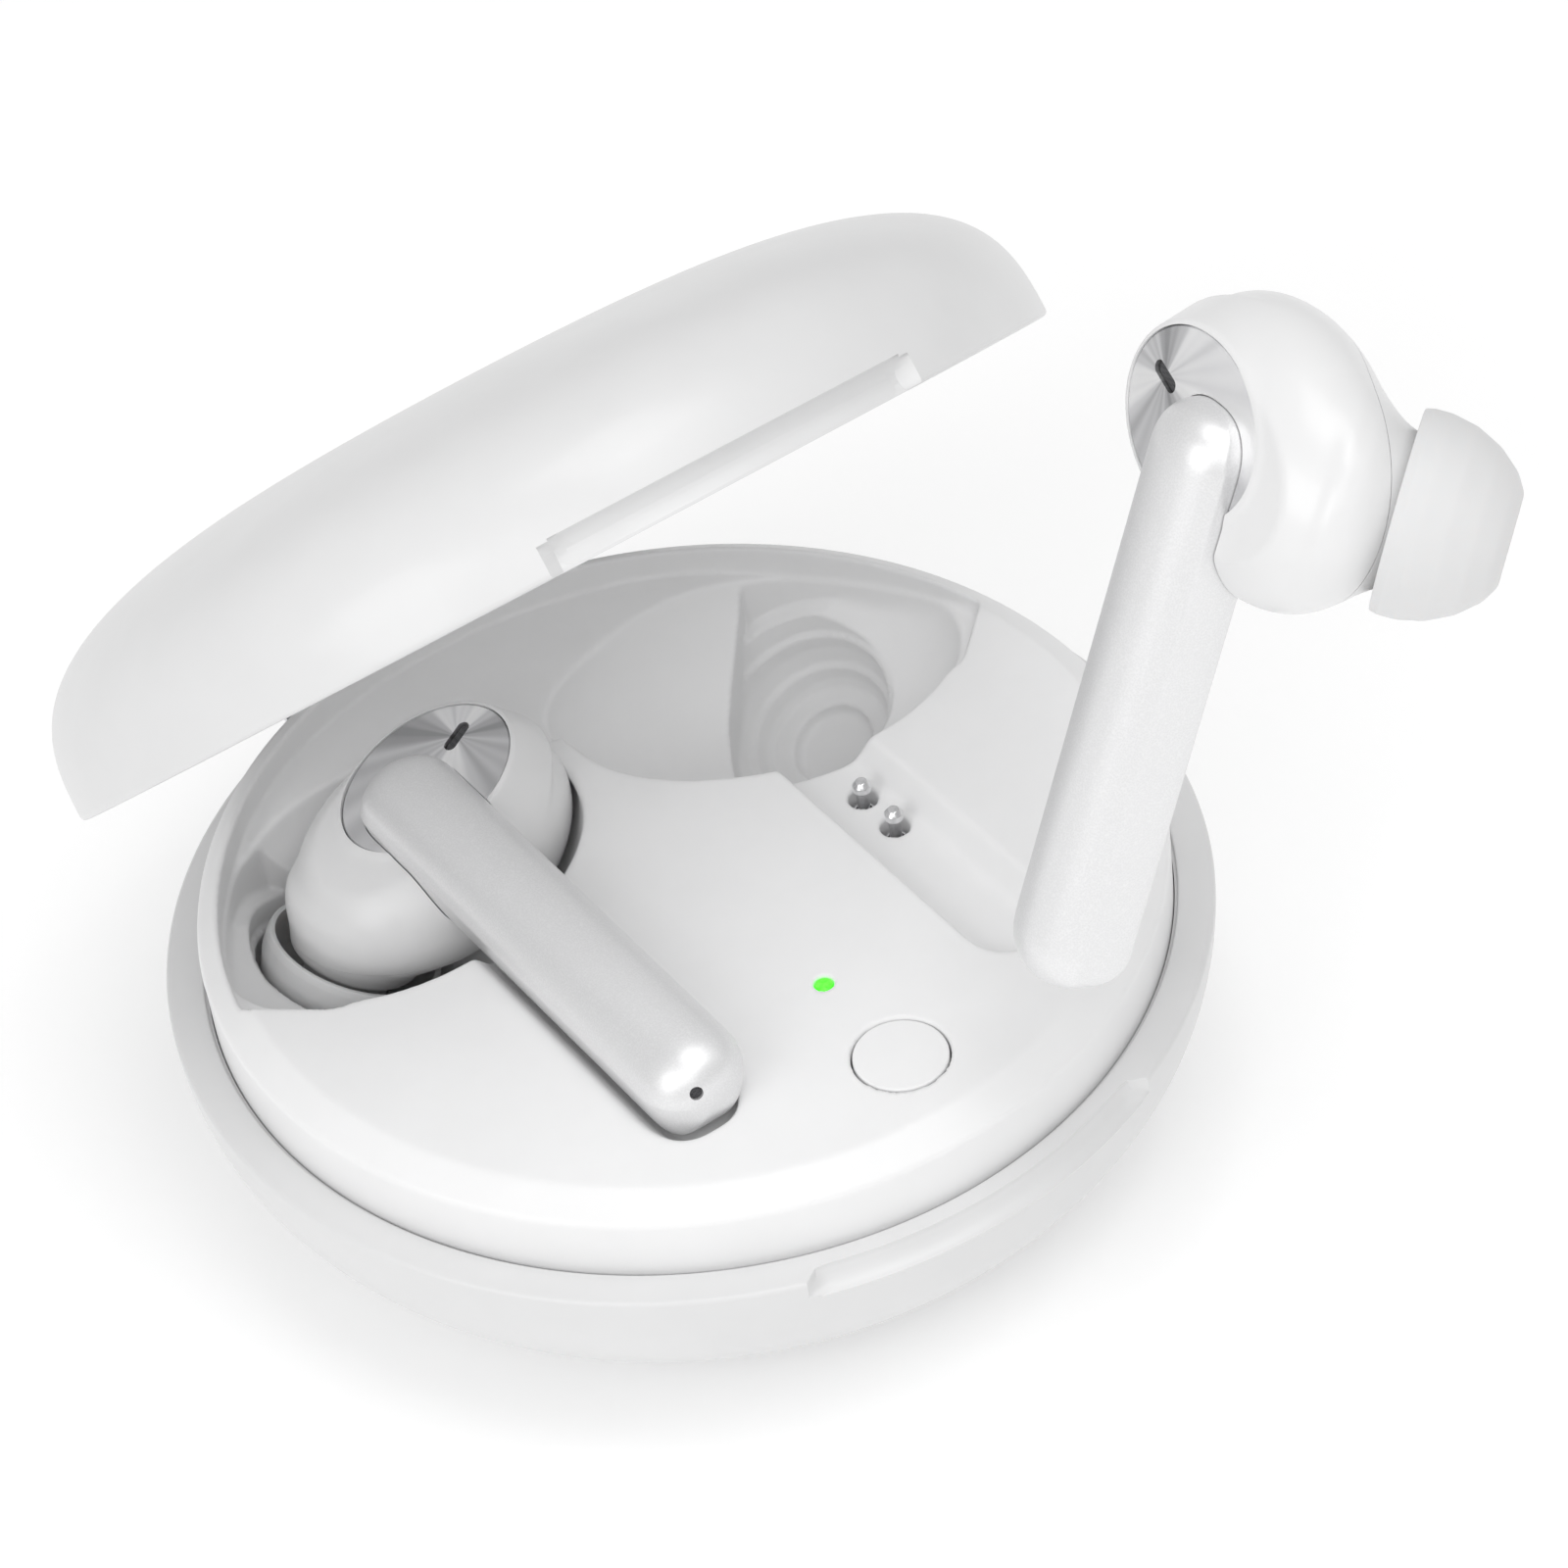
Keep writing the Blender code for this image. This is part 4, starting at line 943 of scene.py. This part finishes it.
# ---- stem and slot shapes -----------------------------------------------------------------------
def stem_outline(count):
    """Stem cross-section round its axis, as a Hermite curve sampled at even angles."""
    t = (np.arange(16) / 16)[:, None]
    curve = []
    for i in range(len(STEM_POINTS)):
        p0, p1, p2, p3 = (STEM_POINTS[(i + k - 1) % len(STEM_POINTS)] for k in range(4))
        leave, arrive = (p2 - p0) * 0.5, (p3 - p1) * 0.5
        if i == STEM_CREASE or i in STEM_STRAIGHT:
            leave = p2 - p1
        if i in STEM_STRAIGHT:
            arrive = p2 - p1
        curve.append((2 * t ** 3 - 3 * t ** 2 + 1) * p1 + (t ** 3 - 2 * t ** 2 + t) * leave
                     + (3 * t ** 2 - 2 * t ** 3) * p2 + (t ** 3 - t ** 2) * arrive)
    x, z = np.concatenate(curve).T
    angle, radius = np.unwrap(np.arctan2(z, x)), np.hypot(x, z)
    even = math.atan2(STEM_POINTS[0, 1], STEM_POINTS[0, 0]) + 2 * np.pi * np.arange(count) / count
    r = np.interp(even, np.r_[angle, angle[0] + 2 * np.pi], np.r_[radius, radius[0]])
    return np.stack([r * np.cos(even), r * np.sin(even)], 1)


def stem_shape(grow, count, steps):
    """Stem with rounded ends, grown sideways and at the rear."""
    outline = stem_outline(count)
    outline = outline * (1 + grow / np.hypot(outline[:, 0], outline[:, 1]))[:, None]
    rear = STEM_REAR + grow
    cosines = [math.cos(math.pi / 2 * i / steps) for i in range(steps + 1)]
    cap = [(STEM_CAP * (1 - k), (1 - k ** 2.4) ** (1 / 2.4)) for k in cosines]
    stations = [(rear - inset, scale) for inset, scale in cap]
    stations += [(y, 1.0) for y in np.linspace(rear - STEM_CAP, STEM_FRONT + STEM_CAP, 30)[1:-1]]
    stations += [(STEM_FRONT + inset, scale) for inset, scale in reversed(cap)]
    rings = []
    for y, scale in stations:
        if scale < 1e-6:
            rings.append([(STEM_X, y, STEM_Z)])
        else:
            rings.append([(STEM_X + x * scale, y, STEM_Z + z * scale) for x, z in outline])
    return loft(rings)


def slot_outline(half, radius, count=24):
    c, s = math.cos(SLOT_TURN), math.sin(SLOT_TURN)
    outline = []
    for i in range(count):
        t = 2 * math.pi * i / count
        x = radius * math.cos(t) + math.copysign(half, math.cos(t) + 1e-12)
        y = radius * math.sin(t)
        outline.append((SLOT[0] + x * c - y * s, SLOT[1] + x * s + y * c))
    return outline


# ---- earbud pieces ------------------------------------------------------------------------------
Bud = namedtuple("Bud", "tag pose body tip_body")


def put(bud, name, shape, material, replaces, slot, body=None, **options):
    return make(f"{name}_{bud.tag}", shape, material, body or bud.body,
                f"{replaces}_{bud.tag}", slot, pose=bud.pose, **options)


def bud_block(zs):
    """Block wider than the bud, for trimming it level."""
    return block((-4, 26), (-2, 28), zs)


def head(bud):
    upper = put(bud, "head_upper", UPPER, BUD, "head_shell", "bud_white")
    plate_outline = superoval(PLATE_HALF_X + 0.05, PLATE_HALF_Y + 0.05, 2.0, 160)
    plate_well = placed(PLATE_FRAME, prism(plate_outline, -0.7, 4.0))
    cuts = (bud_block((-6, -0.18)), plate_well, stem_shape(0.07, 96, 14))
    cut(upper, [cutter(shape, bud.pose) for shape in cuts], 55)
    lower = put(bud, "head_lower", LOWER, BUD, "nozzle_shell", "bud_white")
    cut(lower, [cutter(bud_block((-0.22, 6)), bud.pose)], 55)


def pad_frame(y):
    return affine(shift=(PAD_X, y, STEM_UNDERSIDE))


def stem(bud):
    piece = put(bud, "stem", stem_shape(0.0, 144, 18), PEARL, "stem_shell", "stem_pearl", sharp=22)
    mic_hole = [(0, -0.9), (0.42, -0.9), (0.42, 0.1), (0.62, 0.6), (0.62, 2.0), (0, 2.0)]
    cuts = [placed(MIC_FRAME, spin(mic_hole, 32))]
    cuts += [placed(pad_frame(y), rod(0.92, -1.0, 0.42, 40)) for y in PIN_YS.values()]
    cut(piece, [cutter(shape, bud.pose) for shape in cuts])
    put(bud, "mic_mesh", placed(MIC_FRAME, rod(0.36, -0.75, -0.45, 32, crown=0.05)), WEAVE,
        "stem_mic_mesh", "mesh_dark", sharp=40)
    for which, y in PIN_YS.items():
        put(bud, "pad_" + which, placed(pad_frame(y), spin(fillet(PAD_PROFILE, 4), 40)), GOLD,
            "contact_pad_" + which, "contact_gold", sharp=40)


def slot_origin(bud):
    """World frame at the slot, so the turned rings centre on it."""
    matrix = bud.pose @ (PLATE_FRAME @ affine(shift=(SLOT[0], SLOT[1], 0)))
    if np.linalg.det(matrix[:3, :3]) < 0:
        matrix = matrix @ MIRROR
    matrix[:3, 3] = (matrix[:3, 3] + [0, 0, PARTING]) * MM
    return Matrix(matrix.tolist())


def plate(bud):
    """Turned disc, cut round the stem and through at the slot, with mesh in the slot."""
    ring = superoval(1.0, 1.0, 2.0, 160)
    disc = loft([[(x * PLATE_HALF_X * scale, y * PLATE_HALF_Y * scale, z) for x, y in ring]
                 for scale, z in PLATE_EDGE])
    piece = put(bud, "turned_plate", placed(PLATE_FRAME, disc), TURNED, "trim_plate",
                "brushed_plate", sharp=40, origin=slot_origin(bud))
    slot_hole = placed(PLATE_FRAME, prism(slot_outline(0.72, 0.42), -1.5, 1.0))
    cut(piece, [cutter(slot_hole, bud.pose), cutter(stem_shape(0.06, 72, 12), bud.pose)])
    mesh = placed(PLATE_FRAME, prism(slot_outline(0.70, 0.36), -0.55, -0.3))
    put(bud, "slot_weave", mesh, WEAVE, "slot_mesh", "mesh_dark", sharp=40)


def tip(bud):
    profile = fillet(TIP_PROFILE + TIP_PROFILE[:1])[:-1]
    put(bud, "silicone_tip",
        placed(TIP_FRAME, spin(profile, 160, closed=True)), SILICONE,
        "ear_tip", "silicone", body=bud.tip_body, sharp=50)
    put(bud, "nozzle_weave", placed(TIP_FRAME, rod(1.1, 4.0, 4.25, 40, crown=0.05)), WEAVE,
        "nozzle_mesh", "mesh_dark", sharp=40)


for bud in (Bud("left", MIRROR, "left_bud", "left_bud"),
            Bud("right", HELD, "right_bud", "right_tip")):
    head(bud)
    stem(bud)
    plate(bud)
    tip(bud)

# ---- CAD nodes kept as they are -----------------------------------------------------------------
KEPT = {
    "usb_c_socket": STEEL, "battery_cell": FOIL, "main_board": BOARD, "tactile_switch": BLACK,
    "status_led_chip": CHIP, "base_latch_magnet": NICKEL, "bud_magnet_right": NICKEL,
    "bud_magnet_left": NICKEL, "hinge_pin": STEEL, "hinge_bracket": STEEL,
    "lid_hinge_leaf": STEEL, "lid_magnet_left": NICKEL, "lid_magnet_right": NICKEL,
    "speaker_driver_left": STEEL, "speaker_driver_right": STEEL, "bud_battery_left": FOIL,
    "bud_battery_right": FOIL}
for name, material in KEPT.items():
    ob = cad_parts[name]
    if not ob.material_slots:
        ob.data.materials.append(material)
    for slot in ob.material_slots:
        slot.material = material


# ---- floor, light, camera (metres) --------------------------------------------------------------
def paper(name):
    m = Recipe(name)
    mottle = m.node("TexNoise", Scale=40.0, Detail=3.0)
    m.colour(mottle.outputs["Fac"], [(0.3, grey(0.83, 0.83)), (0.7, grey(0.84, 0.84))])
    return m.finish(Emission_Color=(1, 1, 1, 1), Emission_Strength=0.21, Roughness=0.9)


def add_floor():
    bm = bmesh.new()
    bmesh.ops.create_grid(bm, x_segments=8, y_segments=8, size=3.0)
    mesh = bpy.data.meshes.new("floor")
    bm.to_mesh(mesh)
    bm.free()
    floor = bpy.data.objects.new("floor", mesh)
    bpy.context.scene.collection.objects.link(floor)
    mesh.materials.append(paper("floor_paper"))
    floor.location.z = -0.00005


def add_world():
    world = bpy.data.worlds.new("studio")
    bpy.context.scene.world = world
    world.use_nodes = True
    background = world.node_tree.nodes["Background"]
    background.inputs["Color"].default_value = (1, 1, 1, 1)
    background.inputs["Strength"].default_value = 0.58


def area_light(name, at, size, power):
    """Rectangular light aimed at the case."""
    light = bpy.data.lights.new(name, "AREA")
    light.shape = "RECTANGLE"
    light.size, light.size_y = size
    light.energy = power
    ob = bpy.data.objects.new(name, light)
    bpy.context.scene.collection.objects.link(ob)
    ob.location = at
    ob.rotation_mode = "QUATERNION"
    ob.rotation_quaternion = (Vector((0.0, 0.0, 0.02)) - Vector(at)).to_track_quat("-Z", "Y")


def add_camera():
    camera = bpy.data.cameras.new("camera")
    camera.sensor_width = 36.0
    camera.lens = 120.69
    camera.clip_start, camera.clip_end = 0.01, 20
    ob = bpy.data.objects.new("camera", camera)
    bpy.context.scene.collection.objects.link(ob)
    right, up = (0.81063, -0.57776, -0.09522), (0.45298, 0.51570, 0.72723)
    back, at = (-0.37105, -0.63265, 0.67976), (-0.11380, -0.20780, 0.24368)
    ob.matrix_world = Matrix([*zip(right, up, back, at), (0, 0, 0, 1)])
    bpy.context.scene.camera = ob


add_floor()
add_world()
area_light("key", at=(-0.62, -0.20, 0.44), size=(0.40, 0.40), power=1.25)
area_light("front", at=(0.12, -0.36, 0.74), size=(0.40, 0.40), power=0.9)
area_light("top", at=(0.05, -0.08, 0.80), size=(0.4, 0.4), power=1.15)
area_light("fill", at=(-0.30, -0.52, 0.56), size=(0.50, 0.40), power=0.75)
add_camera()
bpy.context.scene.view_settings.view_transform = "Standard"
